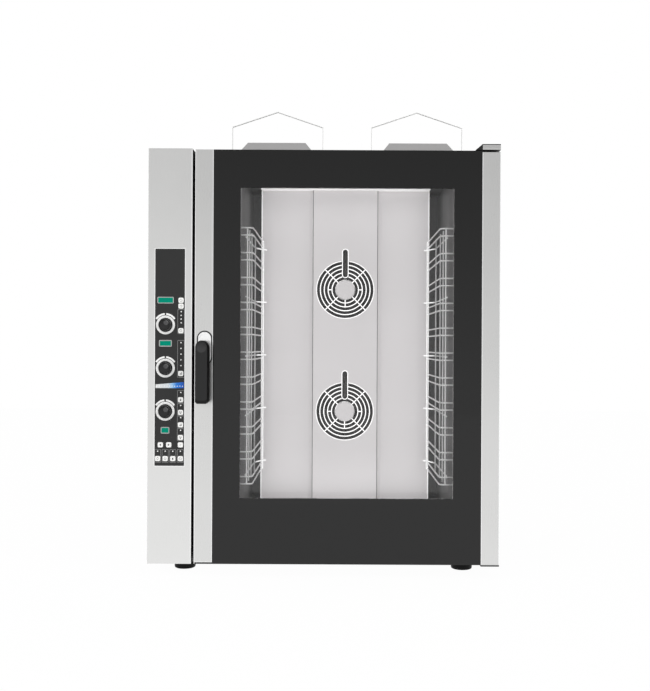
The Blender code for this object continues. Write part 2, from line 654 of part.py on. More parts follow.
def make_fans(fan_steel, motor_metal, heater_metal):
    """Fans on their shafts, their motors behind the insulation and the ring heaters around the fans."""
    disc_y = BACK_Y - FAN_BACK_GAP
    front_y = disc_y - FAN_DEPTH
    shaft_end = JACKET_BACK_Y + 0.050
    boss_y = BACK_Y + SHEET + CLEAR
    body_y = JACKET_BACK_Y + CLEAR
    motor_end = body_y + MOTOR_LENGTH
    bore_end = shaft_end + 0.003
    bore = FAN_SHAFT_RADIUS + CLEAR
    for word, fan_z in zip(("lower", "upper"), FAN_ZS):
        bm = bmesh.new()
        add_lathe(bm, "y", (CAVITY_X, fan_z), [
            (0.0, front_y), (0.022, front_y), (0.022, disc_y), (FAN_RADIUS, disc_y), (FAN_RADIUS, disc_y + 0.002),
            (FAN_SHAFT_RADIUS, disc_y + 0.002), (FAN_SHAFT_RADIUS, shaft_end), (0.0, shaft_end),
        ], 20)
        fan = solid(f"fan_{word}", bm, fan_steel, (CAVITY_X, disc_y, fan_z))
        bm = bmesh.new()
        for blade in range(FAN_BLADES):
            one = bmesh.new()
            add_box(one, (0.038, front_y, -0.001), (FAN_RADIUS - 0.002, disc_y + 0.001, 0.001))
            turn = Matrix.Rotation(2 * math.pi * blade / FAN_BLADES, 4, "Y")
            bmesh.ops.transform(one, matrix=Matrix.Translation((CAVITY_X, 0, fan_z)) @ turn, verts=one.verts)
            mesh = bpy.data.meshes.new("blade")
            one.to_mesh(mesh)
            one.free()
            bm.from_mesh(mesh)
        combine(fan, helper(f"fan_{word}_blades", bm), "UNION")

        bm = bmesh.new()
        add_lathe(bm, "y", (CAVITY_X, fan_z), [
            (0.0, bore_end), (bore, bore_end), (bore, boss_y), (MOTOR_BOSS_RADIUS, boss_y), (MOTOR_BOSS_RADIUS, body_y),
            (MOTOR_RADIUS, body_y), (MOTOR_RADIUS, motor_end), (0.0, motor_end),
        ], 20)
        solid(f"fan_motor_{word}", bm, motor_metal)

        ring_y = (front_y + disc_y) / 2
        tips = heater_tips(fan_z)
        tail_y = JACKET_BACK_Y + 0.012
        path = [(tips[1][0], tail_y, tips[1][1])]
        start = math.radians(248)
        turns = 22
        sweep = math.radians(344)
        for step in range(turns + 1):
            angle = start + sweep * step / turns
            x = CAVITY_X + HEATER_RADIUS * math.cos(angle)
            path.append((x, ring_y, fan_z + HEATER_RADIUS * math.sin(angle)))
        path.append((tips[0][0], tail_y, tips[0][1]))
        first = bend(path[1], path[0], path[2], 0.008, 2)
        last = bend(path[-2], path[-3], path[-1], 0.008, 2)
        bm = bmesh.new()
        add_tube(bm, path[:1] + first + path[2:-2] + last + path[-1:], HEATER_TUBE, 1)
        solid(f"heater_{word}", bm, heater_metal)


def make_rack(side, name, material):
    """Tray rack on one side: rail wires joined by a front post, a back post, side posts and tie wires."""
    front = FACE_Y + RACK_SETBACK
    rail = RAIL_SPACING / 2
    post = POST_SPACING / 2
    first_z = FLOOR_Z + RACK_FIRST_RISE
    last_z = first_z + (RACK_LEVELS - 1) * RACK_PITCH + RAIL_GAP
    low = first_z - 0.008
    high = last_z + 0.008
    back = front + RACK_DEPTH
    tie = post + 0.003

    def at(offset, y, z):
        return (CAVITY_X + side * offset, y, z)

    def bar(bm, offset, y):
        r = WIRE_RADIUS * 0.85
        x = CAVITY_X + side * offset
        add_box(bm, (x - r, y - r, low), (x + r, y + r, high))

    bm = bmesh.new()
    for step in POST_STEPS:
        bar(bm, post, front + 0.003 + step)
    bar(bm, rail - 0.003, back)
    rack = solid(name, bm, material)

    bm = bmesh.new()
    for level in range(RACK_LEVELS):
        for extra in (0.0, RAIL_GAP):
            z = first_z + level * RACK_PITCH + extra
            start = at(CAVITY_WIDTH / 2 - 0.0006, front, z)
            end = at(rail, back + WIRE_RADIUS, z)
            corner = bend(at(rail, front, z), start, end, RAIL_BEND, 2)
            add_tube(bm, [start, *corner, end], WIRE_RADIUS, 0)
    combine(rack, helper(f"{name}_rails", bm), "UNION")

    bm = bmesh.new()
    for n in range(RACK_TIES):
        z = first_z + 0.0245 + (last_z - first_z - 0.0505) * n / (RACK_TIES - 1)
        points = [at(tie, front - 0.001, z), at(tie, back - 0.050, z)]
        points += [at(rail - 0.0025, back - 0.003, z), at(rail - 0.012, back + 0.007, z)]
        add_tube(bm, points, WIRE_RADIUS, 0)
    combine(rack, helper(f"{name}_ties", bm), "UNION")


def make_water(tube_metal, drain_metal):
    """Water manifold with its two injection tubes, and the drain."""
    nozzle_y = BAFFLE_Y - BAFFLE_RAISE + BAFFLE_SHEET + TUBE_RADIUS + 0.003
    top_z = FAN_ZS[1] + TUBE_RISE
    bm = bmesh.new()
    header = (MANIFOLD_X, MANIFOLD_Y)
    add_tube(bm, [(*header, FAN_ZS[0] + TUBE_RISE - 0.010), (*header, top_z + 0.010)], TUBE_RADIUS * 1.2, 1)
    made = solid("water_manifold", bm, tube_metal)
    bm = bmesh.new()
    for fan_z in FAN_ZS:
        z = fan_z + TUBE_RISE
        knots = [(*header, z), (CAVITY_X, MANIFOLD_Y, z), (CAVITY_X, nozzle_y, z)]
        knots.append((CAVITY_X, nozzle_y, fan_z + TUBE_SLOT_LOW + 0.006))
        path = [knots[0]]
        for before, corner, after in zip(knots, knots[1:], knots[2:]):
            path += bend(corner, before, after, 0.012)
        add_tube(bm, path + knots[-1:], TUBE_RADIUS, 1)
    add_tube(bm, [(*header, INLET_Z), (MANIFOLD_X, REAR_Y + FITTING_REACH, INLET_Z)], TUBE_RADIUS, 1)
    combine(made, helper("injection_tubes", bm), "UNION")

    start = (CAVITY_X, DRAIN_Y, FLOOR_Z - 0.001)
    corner = (CAVITY_X, DRAIN_Y, DRAIN_Z)
    end = (CAVITY_X, REAR_Y + FITTING_REACH, DRAIN_Z)
    bm = bmesh.new()
    add_tube(bm, [start, *bend(corner, start, end, 0.022, 4), end], DRAIN_RADIUS, 3)
    solid("drain_outlet", bm, drain_metal)


def make_rear_gland(material):
    """Mains cable gland in the rear panel."""
    nut = GLAND_RADIUS + 0.004
    inner = REAR_Y - SHEET - CLEAR
    profile = [
        (0.0, inner - 0.010), (nut, inner - 0.010), (nut, inner), (GLAND_RADIUS, inner),
        (GLAND_RADIUS, REAR_Y + CLEAR), (nut, REAR_Y + CLEAR), (nut, REAR_Y + 0.012),
        (GLAND_RADIUS - 0.002, REAR_Y + FITTING_REACH), (0.0, REAR_Y + FITTING_REACH),
    ]
    bm = bmesh.new()
    add_lathe(bm, "y", (GLAND_X, GLAND_Z), profile, 16)
    solid("mains_gland", bm, material)


def make_vents(vent_metal, guard_metal):
    """Vent chimneys that come up from the cavity through the roof, and the strap guards over them."""
    stub = VENT_STUB_WIDTH / 2
    wall = VENT_WIDTH / 2
    deep = VENT_DEPTH / 2
    taper = (VENT_WIDTH - VENT_TOP_WIDTH) / 2
    shelf_z = ROOF_Z + CLEAR
    top_z = shelf_z + VENT_WALL_HEIGHT
    for word, x in zip(("left", "right"), VENT_XS):
        levels = [
            (stub, stub, CEILING_Z + SHEET + CLEAR), (stub, stub, shelf_z), (wall, deep, shelf_z), (wall, deep, top_z),
            (wall - taper, deep - taper, top_z + VENT_CONE_HEIGHT),
        ]
        bm = bmesh.new()
        add_sheet(bm, [ring_xy(z, x, VENT_Y, u, v) for u, v, z in levels], False)
        sheet_solid(f"vent_{word}", bm, vent_metal, SHEET)

        half = GUARD_WIDTH / 2
        foot_z = ROOF_Z + CLEAR + GUARD_SHEET
        line = [
            (-half - GUARD_FOOT, foot_z), (-half, foot_z), (-half, ROOF_Z + GUARD_EAVES), (0.0, ROOF_Z + GUARD_PEAK),
            (half, ROOF_Z + GUARD_EAVES), (half, foot_z), (half + GUARD_FOOT, foot_z),
        ]
        bm = bmesh.new()
        fronts = [bm.verts.new((x + u, VENT_Y - GUARD_DEPTH / 2, v)) for u, v in line]
        backs = [bm.verts.new((x + u, VENT_Y + GUARD_DEPTH / 2, v)) for u, v in line]
        for i in range(len(line) - 1):
            bm.faces.new((fronts[i], fronts[i + 1], backs[i + 1], backs[i]))
        sheet_solid(f"vent_guard_{word}", bm, guard_metal, GUARD_SHEET)


def make_hinges(dark_steel):
    """Hinge brackets fixed to the casing, each with the pin that the door turns on."""
    left = RIGHT_X - PROFILE_WIDTH
    low = BASE_Z + COLUMN_HEIGHT - CLEAR
    high = low + TOP_BRACKET_RISE
    section = [(left - WEDGE_WIDTH, low), (RIGHT_X, low), (RIGHT_X, high), (left, high)]
    bm = bmesh.new()
    add_plate(bm, "y", DOOR_Y, FACE_Y - CLEAR, section)
    made = solid("top_hinge_bracket", bm, dark_steel)
    bm = bmesh.new()
    add_box(bm, (left, FACE_Y - 0.010, ROOF_Z + CLEAR), (RIGHT_X, FACE_Y + TOP_BRACKET_REACH, high))
    pin_low = BASE_Z + DOOR_HEIGHT - HINGE_PROFILE_DROP - HINGE_PIN_LENGTH
    pin_high = low + 0.008
    pin = [(0, pin_low), (HINGE_PIN_RADIUS, pin_low), (HINGE_PIN_RADIUS, pin_high), (0, pin_high)]
    add_lathe(bm, "z", (HINGE_X, HINGE_Y), pin, 16)
    combine(made, helper("top_hinge_parts", bm), "UNION")

    top = BASE_Z - CLEAR
    bm = bmesh.new()
    add_box(bm, (left, DOOR_Y, top - BOTTOM_BRACKET_THICK), (RIGHT_X, DOOR_Y + BOTTOM_BRACKET_REACH, top))
    made = solid("bottom_hinge_bracket", bm, dark_steel)
    bm = bmesh.new()
    pin_high = top + HINGE_PIN_LENGTH
    pin_low = top - BOTTOM_BRACKET_THICK / 2
    pin = [(0, pin_low), (HINGE_PIN_RADIUS, pin_low), (HINGE_PIN_RADIUS, pin_high), (0, pin_high)]
    add_lathe(bm, "z", (HINGE_X, HINGE_Y), pin, 16)
    combine(made, helper("bottom_hinge_pin", bm), "UNION")


def make_door(steel, glass, frame_steel):
    """Door: outer glass, hollow frame, inner glass and the two side profiles."""
    pivot = (HINGE_X, HINGE_Y, BASE_Z)
    glass_x0 = DOOR_LEFT_X + PROFILE_WIDTH + CLEAR
    glass_x1 = RIGHT_X - PROFILE_WIDTH - CLEAR
    bm = bmesh.new()
    add_box(bm, (glass_x0, DOOR_Y, BASE_Z), (glass_x1, DOOR_Y + GLASS_THICK, DOOR_TOP_Z))
    solid("door_outer_glass", bm, glass, pivot)

    frame_y0 = DOOR_Y + GLASS_THICK + CLEAR
    whole = (glass_x0, BASE_Z, glass_x1, DOOR_TOP_Z)
    side = FRAME_BORDER_SIDE
    hollow = (glass_x0 + side, BASE_Z + FRAME_BORDER_BOTTOM, glass_x1 - side, DOOR_TOP_Z - FRAME_BORDER_TOP)
    bm = bmesh.new()
    rings = [ring_xz(frame_y0, *hollow), ring_xz(frame_y0, *whole)]
    rings += [ring_xz(DOOR_BACK_Y, *whole), ring_xz(DOOR_BACK_Y, *hollow)]
    add_sheet(bm, rings, False)
    bmesh.ops.translate(bm, verts=bm.verts, vec=-Vector(pivot))
    frame = sheet_solid("door_frame", bm, frame_steel, FRAME_WALL)
    frame.location = pivot

    back = DOOR_BACK_Y - FRAME_WALL - CLEAR
    inset = FRAME_WALL + 0.010
    low = (glass_x0 + inset, back - INNER_GLASS_THICK, BASE_Z + FRAME_WALL + CLEAR)
    high = (glass_x1 - inset, back, DOOR_TOP_Z - inset)
    bm = bmesh.new()
    add_box(bm, low, high)
    solid("door_inner_glass", bm, glass, pivot)

    wall = PROFILE_WALL
    for name, x0, x1, z1 in (
        ("door_handle_profile", DOOR_LEFT_X, DOOR_LEFT_X + PROFILE_WIDTH, DOOR_TOP_Z),
        ("door_hinge_profile", RIGHT_X - PROFILE_WIDTH, RIGHT_X, DOOR_TOP_Z - HINGE_PROFILE_DROP),
    ):
        bm = bmesh.new()
        add_box(bm, (x0, DOOR_Y, BASE_Z), (x1, DOOR_BACK_Y, z1))
        made = solid(name, bm, steel, pivot)
        bm = bmesh.new()
        add_box(bm, (x0 + wall, DOOR_Y + wall, BASE_Z + wall), (x1 - wall, DOOR_BACK_Y - wall, z1 - wall))
        combine(made, helper(f"{name}_hollow", bm), "DIFFERENCE")
        bm = bmesh.new()
        if name == "door_hinge_profile":
            bore = HINGE_PIN_RADIUS + CLEAR
            for low_z, high_z in ((BASE_Z - 0.01, BASE_Z + 0.01), (z1 - 0.01, z1 + 0.01)):
                pin = [(0, low_z), (bore, low_z), (bore, high_z), (0, high_z)]
                add_lathe(bm, "z", (HINGE_X, HINGE_Y), pin, 16)
        else:
            bore = SPINDLE_RADIUS + CLEAR
            front = DOOR_Y - 0.01
            rear = DOOR_BACK_Y + 0.01
            add_lathe(bm, "y", (HANDLE_X, HANDLE_Z), [(0, front), (bore, front), (bore, rear), (0, rear)], 16)
        combine(made, helper(f"{name}_bores", bm), "DIFFERENCE")


def make_handle(plastic, bright_steel, dark_steel):
    """Handle lever on its spindle, the escutcheon behind it, the latch cam and the keeper on the casing."""
    pivot = (HANDLE_X, DOOR_Y, HANDLE_Z)
    half = LEVER_WIDTH / 2
    low = -LEVER_LENGTH
    chamfer = LEVER_CHAMFER
    outline = [
        (-half, low + chamfer), (-half + chamfer, low), (half - chamfer, low), (half, low + chamfer),
    ]
    edge = math.acos(half / BOSS_RADIUS)
    steps = 12
    for step in range(steps + 1):
        angle = -edge + (math.pi + 2 * edge) * step / steps
        outline.append((BOSS_RADIUS * math.cos(angle), BOSS_RADIUS * math.sin(angle)))
    outline = [(HANDLE_X + u, HANDLE_Z + v) for u, v in outline]
    front = DOOR_Y - HANDLE_REACH
    bm = bmesh.new()
    add_plate(bm, "y", front, front + LEVER_DEPTH, outline)
    lever = solid("handle_lever", bm, plastic, pivot)
    seat = DOOR_Y - ESCUTCHEON_THICK - 2 * CLEAR
    tip = DOOR_BACK_Y + CLEAR + CAM_THICK
    inside = front + LEVER_DEPTH - 0.010
    profile = [
        (0.0, inside), (HUB_RADIUS, inside), (HUB_RADIUS, seat), (SPINDLE_RADIUS, seat), (SPINDLE_RADIUS, tip),
        (0.0, tip),
    ]
    bm = bmesh.new()
    add_lathe(bm, "y", (HANDLE_X, HANDLE_Z), profile, 16)
    combine(lever, helper("handle_spindle", bm), "UNION")

    bore = circle(HANDLE_X, HANDLE_Z, SPINDLE_RADIUS + CLEAR, 16)
    corner = ESCUTCHEON_WIDTH * 0.499
    outline = rounded_rectangle(HANDLE_X, HANDLE_Z, ESCUTCHEON_WIDTH, ESCUTCHEON_LENGTH, corner, 6)
    bm = bmesh.new()
    add_plate(bm, "y", DOOR_Y - CLEAR - ESCUTCHEON_THICK, DOOR_Y - CLEAR, outline, [bore])
    solid("handle_escutcheon", bm, bright_steel, (HINGE_X, HINGE_Y, BASE_Z))

    outline = []
    for step in range(11):
        angle = math.radians(-40 + 260 * step / 10)
        outline.append((HANDLE_X + CAM_RADIUS * math.cos(angle), HANDLE_Z + CAM_RADIUS * math.sin(angle)))
    outline += [(HANDLE_X - 0.006, HANDLE_Z - CAM_REACH), (HANDLE_X + 0.006, HANDLE_Z - CAM_REACH)]
    bm = bmesh.new()
    add_plate(bm, "y", DOOR_BACK_Y + CLEAR, DOOR_BACK_Y + CLEAR + CAM_THICK, outline, [bore])
    solid("latch_cam", bm, dark_steel, pivot)

    reach = math.hypot(CAM_REACH, 0.006)
    roller_z = HANDLE_Z - reach - ROLLER_RADIUS - 0.001
    plate_y = FACE_Y - CLEAR - 0.0025
    bm = bmesh.new()
    add_box(bm, (HANDLE_X - 0.012, plate_y, roller_z - 0.020), (HANDLE_X + 0.012, FACE_Y - CLEAR, roller_z + 0.012))
    keeper = solid("latch_keeper", bm, bright_steel)
    y0 = DOOR_BACK_Y + 0.001
    bm = bmesh.new()
    pin = [(0, y0), (ROLLER_RADIUS, y0), (ROLLER_RADIUS, plate_y + 0.001), (0, plate_y + 0.001)]
    add_lathe(bm, "y", (HANDLE_X, roller_z), pin, 14)
    combine(keeper, helper("keeper_roller", bm), "UNION")


def main():
    """Build every piece."""
    for old in list(bpy.data.objects):
        bpy.data.objects.remove(old)
    satin = make_material("satin_stainless", (0.62, 0.62, 0.62), 0.34, 1.0)
    bright = make_material("bright_stainless", (0.75, 0.75, 0.74), 0.18, 1.0)
    cavity = make_material("cavity_stainless", (0.70, 0.69, 0.69), 0.30, 1.0)
    dark = make_material("blackened_steel", (0.05, 0.05, 0.05), 0.45, 1.0)
    galvanised = make_material("galvanised_steel", (0.42, 0.43, 0.44), 0.5, 1.0)
    vent = make_material("vent_steel", (0.33, 0.33, 0.33), 0.45, 1.0)
    wool = make_material("mineral_wool", (0.55, 0.50, 0.36), 0.95)
    rubber = make_material("silicone_rubber", (0.03, 0.03, 0.03), 0.7)
    glass = make_material("black_printed_glass", (0.03, 0.03, 0.03), 0.05, 0.0, 0.6)
    film = make_material("black_keypad_film", (0.045, 0.045, 0.045), 0.4)
    board = make_material("display_board", (0.0, 0.25, 0.15), 0.5)
    black = make_material("black_plastic", (0.02, 0.02, 0.02), 0.4)
    white = make_material("white_plastic", (0.75, 0.75, 0.75), 0.4)
    alloy = make_material("cast_aluminium", (0.5, 0.5, 0.5), 0.5, 1.0)
    heater = make_material("heater_sheath", (0.25, 0.24, 0.22), 0.5, 1.0)

    make_base(galvanised)
    make_feet(black)
    make_panels(satin)
    make_column(satin, film, board, black, white)
    make_cavity(cavity, wool, rubber)
    make_baffle(cavity)
    make_fans(cavity, alloy, heater)
    make_rack(-1, "tray_rack_left", bright)
    make_rack(1, "tray_rack_right", bright)
    make_water(bright, bright)
    make_rear_gland(black)
    make_vents(vent, bright)
    make_hinges(dark)
    make_door(satin, glass, galvanised)
    make_handle(black, bright, dark)


main()
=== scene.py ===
"""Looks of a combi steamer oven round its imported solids: finishes, glass, keypad, racks and studio."""

from __future__ import annotations

import logging
import math
from dataclasses import dataclass
from enum import Enum
from typing import Any, Iterable, Sequence

import bmesh
import bpy
from bmesh.types import BMesh, BMFace, BMVert
from mathutils import Matrix, Vector


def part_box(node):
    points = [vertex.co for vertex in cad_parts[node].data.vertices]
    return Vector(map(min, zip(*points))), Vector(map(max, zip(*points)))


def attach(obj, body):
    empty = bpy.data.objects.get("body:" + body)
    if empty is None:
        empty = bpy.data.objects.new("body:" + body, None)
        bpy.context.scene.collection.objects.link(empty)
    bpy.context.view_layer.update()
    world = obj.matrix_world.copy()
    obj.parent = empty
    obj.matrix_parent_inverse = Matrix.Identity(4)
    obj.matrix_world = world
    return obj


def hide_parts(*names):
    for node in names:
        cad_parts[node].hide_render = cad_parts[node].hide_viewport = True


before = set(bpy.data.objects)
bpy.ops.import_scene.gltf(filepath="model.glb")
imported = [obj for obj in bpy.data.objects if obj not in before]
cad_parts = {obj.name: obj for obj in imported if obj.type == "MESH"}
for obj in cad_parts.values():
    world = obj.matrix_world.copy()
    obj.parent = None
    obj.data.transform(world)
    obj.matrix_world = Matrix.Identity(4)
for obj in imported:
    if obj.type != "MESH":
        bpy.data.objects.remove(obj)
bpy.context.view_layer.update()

LOG = logging.getLogger("oven")
MM = 0.001
FRONT_Y = -405 * MM
PRINT = 0.25 * MM
# Depth of the thin strips laid on the front: painted edge highlights and the dark foot strip.
STRIP_DEPTH = 0.3 * MM
NOISE_SPAN = {"From Min": 0.6, "From Max": 1.4}


def linear(colour: str) -> tuple[float, float, float, float]:
    """Turns a written sRGB colour into the linear one that shaders take.

    Args:
        colour: Six hex digits after a hash.

    Returns:
        Linear red, green, blue and an alpha of one.
    """
    parts = [int(colour[n : n + 2], 16) / 255 for n in (1, 3, 5)]
    red, green, blue = [p / 12.92 if p <= 0.04045 else ((p + 0.055) / 1.055) ** 2.4 for p in parts]
    return red, green, blue, 1.0


def add_node(
    tree: bpy.types.NodeTree, kind: str, inputs: dict[Any, Any] | None = None, **settings: Any
) -> bpy.types.Node:
    """Adds one shader node, sets it up and links it.

    Args:
        tree: The material's or world's node tree.
        kind: Blender's name for the node type.
        inputs: Input socket names or numbers, each with a value or with the socket to link from.
        **settings: The node's own options.

    Returns:
        The new node.
    """
    node = tree.nodes.new(kind)
    for name, value in settings.items():
        setattr(node, name, value)
    for name, value in (inputs or {}).items():
        if isinstance(value, bpy.types.NodeSocket):
            tree.links.new(value, node.inputs[name])
        else:
            node.inputs[name].default_value = value
    return node


def blank_material(name: str) -> bpy.types.Material:
    """Makes an empty node material of that name."""
    material = bpy.data.materials.new(name)
    material.use_nodes = True
    material.node_tree.nodes.clear()
    return material


class Grain(Enum):
    """Which way the marks of a finish run, as how far they shrink along X, Y and Z."""

    EVEN = (1.0, 1.0, 1.0)
    UPRIGHT = (1.0, 1.0, 0.01)
    DEEP = (1.0, 0.01, 1.0)


@dataclass(frozen=True)
class Finish:
    """A solid finish with fine marks, slow clouding, a rough swing and a shallow relief.

    Colours are written sRGB, sizes are millimetres on the real surface.
    """

    name: str
    colour: str
    roughness: float
    metallic: float = 0.0
    mark_mm: float = 0.6
    grain: Grain = Grain.EVEN
    tone: float = 0.06
    swing: float = 0.06
    relief_mm: float = 0.0
    cloud_mm: float = 160.0
    glow: float = 0.0
    shine: float = 0.5

    def material(self) -> bpy.types.Material:
        """Makes the material, or hands back the one already made.

        Returns:
            The finish as a node material.
        """
        if self.name in bpy.data.materials:
            return bpy.data.materials[self.name]
        material = blank_material(self.name)
        tree = material.node_tree
        where = add_node(tree, "ShaderNodeTexCoord").outputs["Object"]
        stretch = [1000.0 / self.mark_mm * along for along in self.grain.value]
        turned = add_node(tree, "ShaderNodeMapping", {"Vector": where, "Scale": stretch}).outputs["Vector"]
        fine = {"Vector": turned, "Scale": 1.0, "Detail": 3.0, "Roughness": 0.6}
        marks = add_node(tree, "ShaderNodeTexNoise", fine).outputs["Fac"]
        slow = {"Vector": where, "Scale": 1000.0 / self.cloud_mm, "Detail": 2.0}
        clouds = add_node(tree, "ShaderNodeTexNoise", slow).outputs["Fac"]
        blend = add_node(tree, "ShaderNodeMath", {0: marks, 1: clouds}, operation="ADD").outputs[0]
        spread = {"Value": blend, **NOISE_SPAN}
        shade = add_node(tree, "ShaderNodeMapRange", spread).outputs[0]
        base = Vector(linear(self.colour)[:3])
        dark, light = (base * (1 - self.tone)).to_tuple(), (base * (1 + self.tone)).to_tuple()
        ends = {0: shade, 6: (*dark, 1.0), 7: (*light, 1.0)}
        colour = add_node(tree, "ShaderNodeMix", ends, data_type="RGBA").outputs[2]
        low, high = max(0.02, self.roughness - self.swing), min(1.0, self.roughness + self.swing)
        rough = add_node(tree, "ShaderNodeMapRange", {**spread, "To Min": low, "To Max": high}).outputs[0]
        inputs: dict[Any, Any] = {"Base Color": colour, "Roughness": rough, "Metallic": self.metallic}
        inputs["Specular IOR Level"] = self.shine
        if self.relief_mm:
            relief = {"Height": marks, "Strength": 0.5, "Distance": self.relief_mm * MM}
            inputs["Normal"] = add_node(tree, "ShaderNodeBump", relief).outputs["Normal"]
        if self.glow:
            inputs["Emission Color"] = colour
            inputs["Emission Strength"] = self.glow
        body = add_node(tree, "ShaderNodeBsdfPrincipled", inputs)
        add_node(tree, "ShaderNodeOutputMaterial", {"Surface": body.outputs[0]})
        return material


@dataclass(frozen=True)
class ClearGlass:
    """Clear toughened glass: nearly all light goes through, and its face mirrors the room a little."""

    name: str
    tint: str
    smear_mm: float = 40.0
    mirror_ior: float = 1.3

    def material(self) -> bpy.types.Material:
        """Makes the material, or hands back the one already made.

        Returns:
            The glass as a node material.
        """
        if self.name in bpy.data.materials:
            return bpy.data.materials[self.name]
        material = blank_material(self.name)
        tree = material.node_tree
        where = add_node(tree, "ShaderNodeTexCoord").outputs["Object"]
        wiped = {"Vector": where, "Scale": 1000.0 / self.smear_mm, "Detail": 4.0}
        smear = add_node(tree, "ShaderNodeTexNoise", wiped).outputs["Fac"]
        slick = {"Value": smear, "To Min": 0.01, "To Max": 0.05}
        rough = add_node(tree, "ShaderNodeMapRange", slick).outputs[0]
        sheen = {"Color": (1, 1, 1, 1), "Roughness": rough}
        mirror = add_node(tree, "ShaderNodeBsdfGlossy", sheen).outputs[0]
        through = add_node(tree, "ShaderNodeBsdfTransparent", {"Color": linear(self.tint)}).outputs[0]
        share = add_node(tree, "ShaderNodeFresnel", {"IOR": self.mirror_ior}).outputs[0]
        mixed = add_node(tree, "ShaderNodeMixShader", {0: share, 1: through, 2: mirror}).outputs[0]
        add_node(tree, "ShaderNodeOutputMaterial", {"Surface": mixed})
        return material


@dataclass(frozen=True)
class ScaleInk:
    """Screen ink of the steam scale: grey at the left, through pale blue to deep blue at the right."""

    name: str
    left: float
    right: float

    def material(self) -> bpy.types.Material:
        """Makes the material, or hands back the one already made.

        Returns:
            The ink as a node material.
        """
        if self.name in bpy.data.materials:
            return bpy.data.materials[self.name]
        material = blank_material(self.name)
        tree = material.node_tree
        where = add_node(tree, "ShaderNodeTexCoord").outputs["Object"]
        across = add_node(tree, "ShaderNodeSeparateXYZ", {0: where}).outputs["X"]
        span = {"Value": across, "From Min": self.left, "From Max": self.right}
        share = add_node(tree, "ShaderNodeMapRange", span).outputs[0]
        ramp = add_node(tree, "ShaderNodeValToRGB", {"Fac": share})
        stops = ((0.0, "#d8d8d8"), (0.45, "#cfd6dc"), (0.6, "#8fc0ea"), (0.75, "#1878d6"), (1.0, "#0050b8"))
        while len(ramp.color_ramp.elements) < len(stops):
            ramp.color_ramp.elements.new(0.5)
        for element, (place, colour) in zip(ramp.color_ramp.elements, stops):
            element.position = place
            element.color = linear(colour)
        body = add_node(tree, "ShaderNodeBsdfPrincipled", {"Base Color": ramp.outputs[0], "Roughness": 0.45})
        add_node(tree, "ShaderNodeOutputMaterial", {"Surface": body.outputs[0]})
        return material


# Satin stainless of the column: fine upright brushing that softens every reflection.
COLUMN_STEEL = Finish("satin_stainless_column", "#e8e8e7", 0.30, 1.0, 0.35, Grain.UPRIGHT, 0.04, 0.05, 0.004)
# Door profiles: the same brushing on a slightly greyer extrusion.
SATIN_STEEL = Finish("satin_stainless_upright", "#e0e0df", 0.30, 1.0, 0.35, Grain.UPRIGHT, 0.05, 0.05, 0.004)
# Roof, sides and back: a slightly duller sheet whose grain runs from front to back.
PANEL_STEEL = Finish("satin_stainless_level", "#c0c0bf", 0.36, 1.0, 0.45, Grain.DEEP, 0.05, 0.06, 0.004)
# Screw heads: turned stainless with clean bright edges.
BRIGHT_STEEL = Finish("bright_stainless", "#eeeeed", 0.18, 1.0, 0.4, Grain.UPRIGHT, 0.03, 0.04, 0.002)
# Chrome of the escutcheon and keypad rim: nearly white, with crisp edges; on the strips along the fascia's
# and door profiles' edges the same white is a painted highlight.
CHROME_AND_EDGE_HIGHLIGHT = Finish("chrome_and_painted_edge_highlight", "#fbfbfb", 0.14, 0.6, 0.4, Grain.UPRIGHT, 0.02, 0.04, 0.002)
# Mill-finished baffle sheet: pale, matt and level, so the grilles read as dark slots.
BAFFLE_STEEL = Finish("mill_finish_stainless", "#d3d0d1", 0.46, 0.35, 0.5, Grain.UPRIGHT, 0.02, 0.05, 0.003)
# Grille rings, slot rims, sheet edges and top flange: the same steel painted near white, a painted highlight.
GRILLE_HIGHLIGHT_STEEL = Finish("baffle_steel_painted_highlight", "#fdfcfc", 0.40, 0.05, 0.5, Grain.UPRIGHT, 0.02, 0.05, 0.003)
# Cavity walls: the same steel painted dark grey, painted shade inside the cavity.
LINER_STEEL = Finish("cavity_painted_shade_stainless", "#626262", 0.5, 0.5, 0.6, Grain.UPRIGHT, 0.10, 0.08, 0.004)
# Rack wire: drawn, electropolished stainless with soft highlights along each rod.
WIRE_STEEL = Finish("electropolished_wire", "#f4f4f4", 0.30, 0.15, 0.8, Grain.EVEN, 0.06, 0.06, 0.004)
# Vent chimneys: bead-blasted sheet, mid grey and almost matt.
VENT_STEEL = Finish("bead_blasted_steel", "#b4b3b3", 0.55, 0.55, 0.5, Grain.EVEN, 0.06, 0.06, 0.010)
# Rolled vent lip, a shade darker than the sheet beside it; on the baffle the same grey is painted shade along
# the centre folds.
LIP_AND_FOLD_SHADE_STEEL = Finish("rolled_lip_and_fold_shade_steel", "#5e5e5e", 0.5, 0.55, 0.5, Grain.EVEN, 0.06, 0.05, 0.008)
# Straps over the vents: pale passivated strip.
STRAP_STEEL = Finish("passivated_strip", "#f0f0ef", 0.5, 0.2, 0.4, Grain.EVEN, 0.03, 0.05, 0.004)
# Galvanised base, latch and drain: grey with large soft spangle.
ZINC_STEEL = Finish("galvanised_sheet", "#9da0a2", 0.45, 0.9, 9.0, Grain.EVEN, 0.14, 0.12, 0.004, 60.0)
# Cast motor housings: grainy pale aluminium.
CAST_ALLOY = Finish("cast_aluminium", "#a6a7a8", 0.5, 0.9, 1.2, Grain.EVEN, 0.08, 0.1, 0.06)
# Heater sheath: dull dark oxidised tube.
SHEATH = Finish("oxidised_heater_sheath", "#4b4745", 0.55, 0.7, 1.0, Grain.EVEN, 0.2, 0.1, 0.02)
# Fan wheels behind the baffle: steel painted almost black, painted shade behind the baffle.
FAN_SHADE_STEEL = Finish("fan_painted_shade_steel", "#1b1a19", 0.5, 0.6, 1.0, Grain.EVEN, 0.2, 0.1, 0.02)
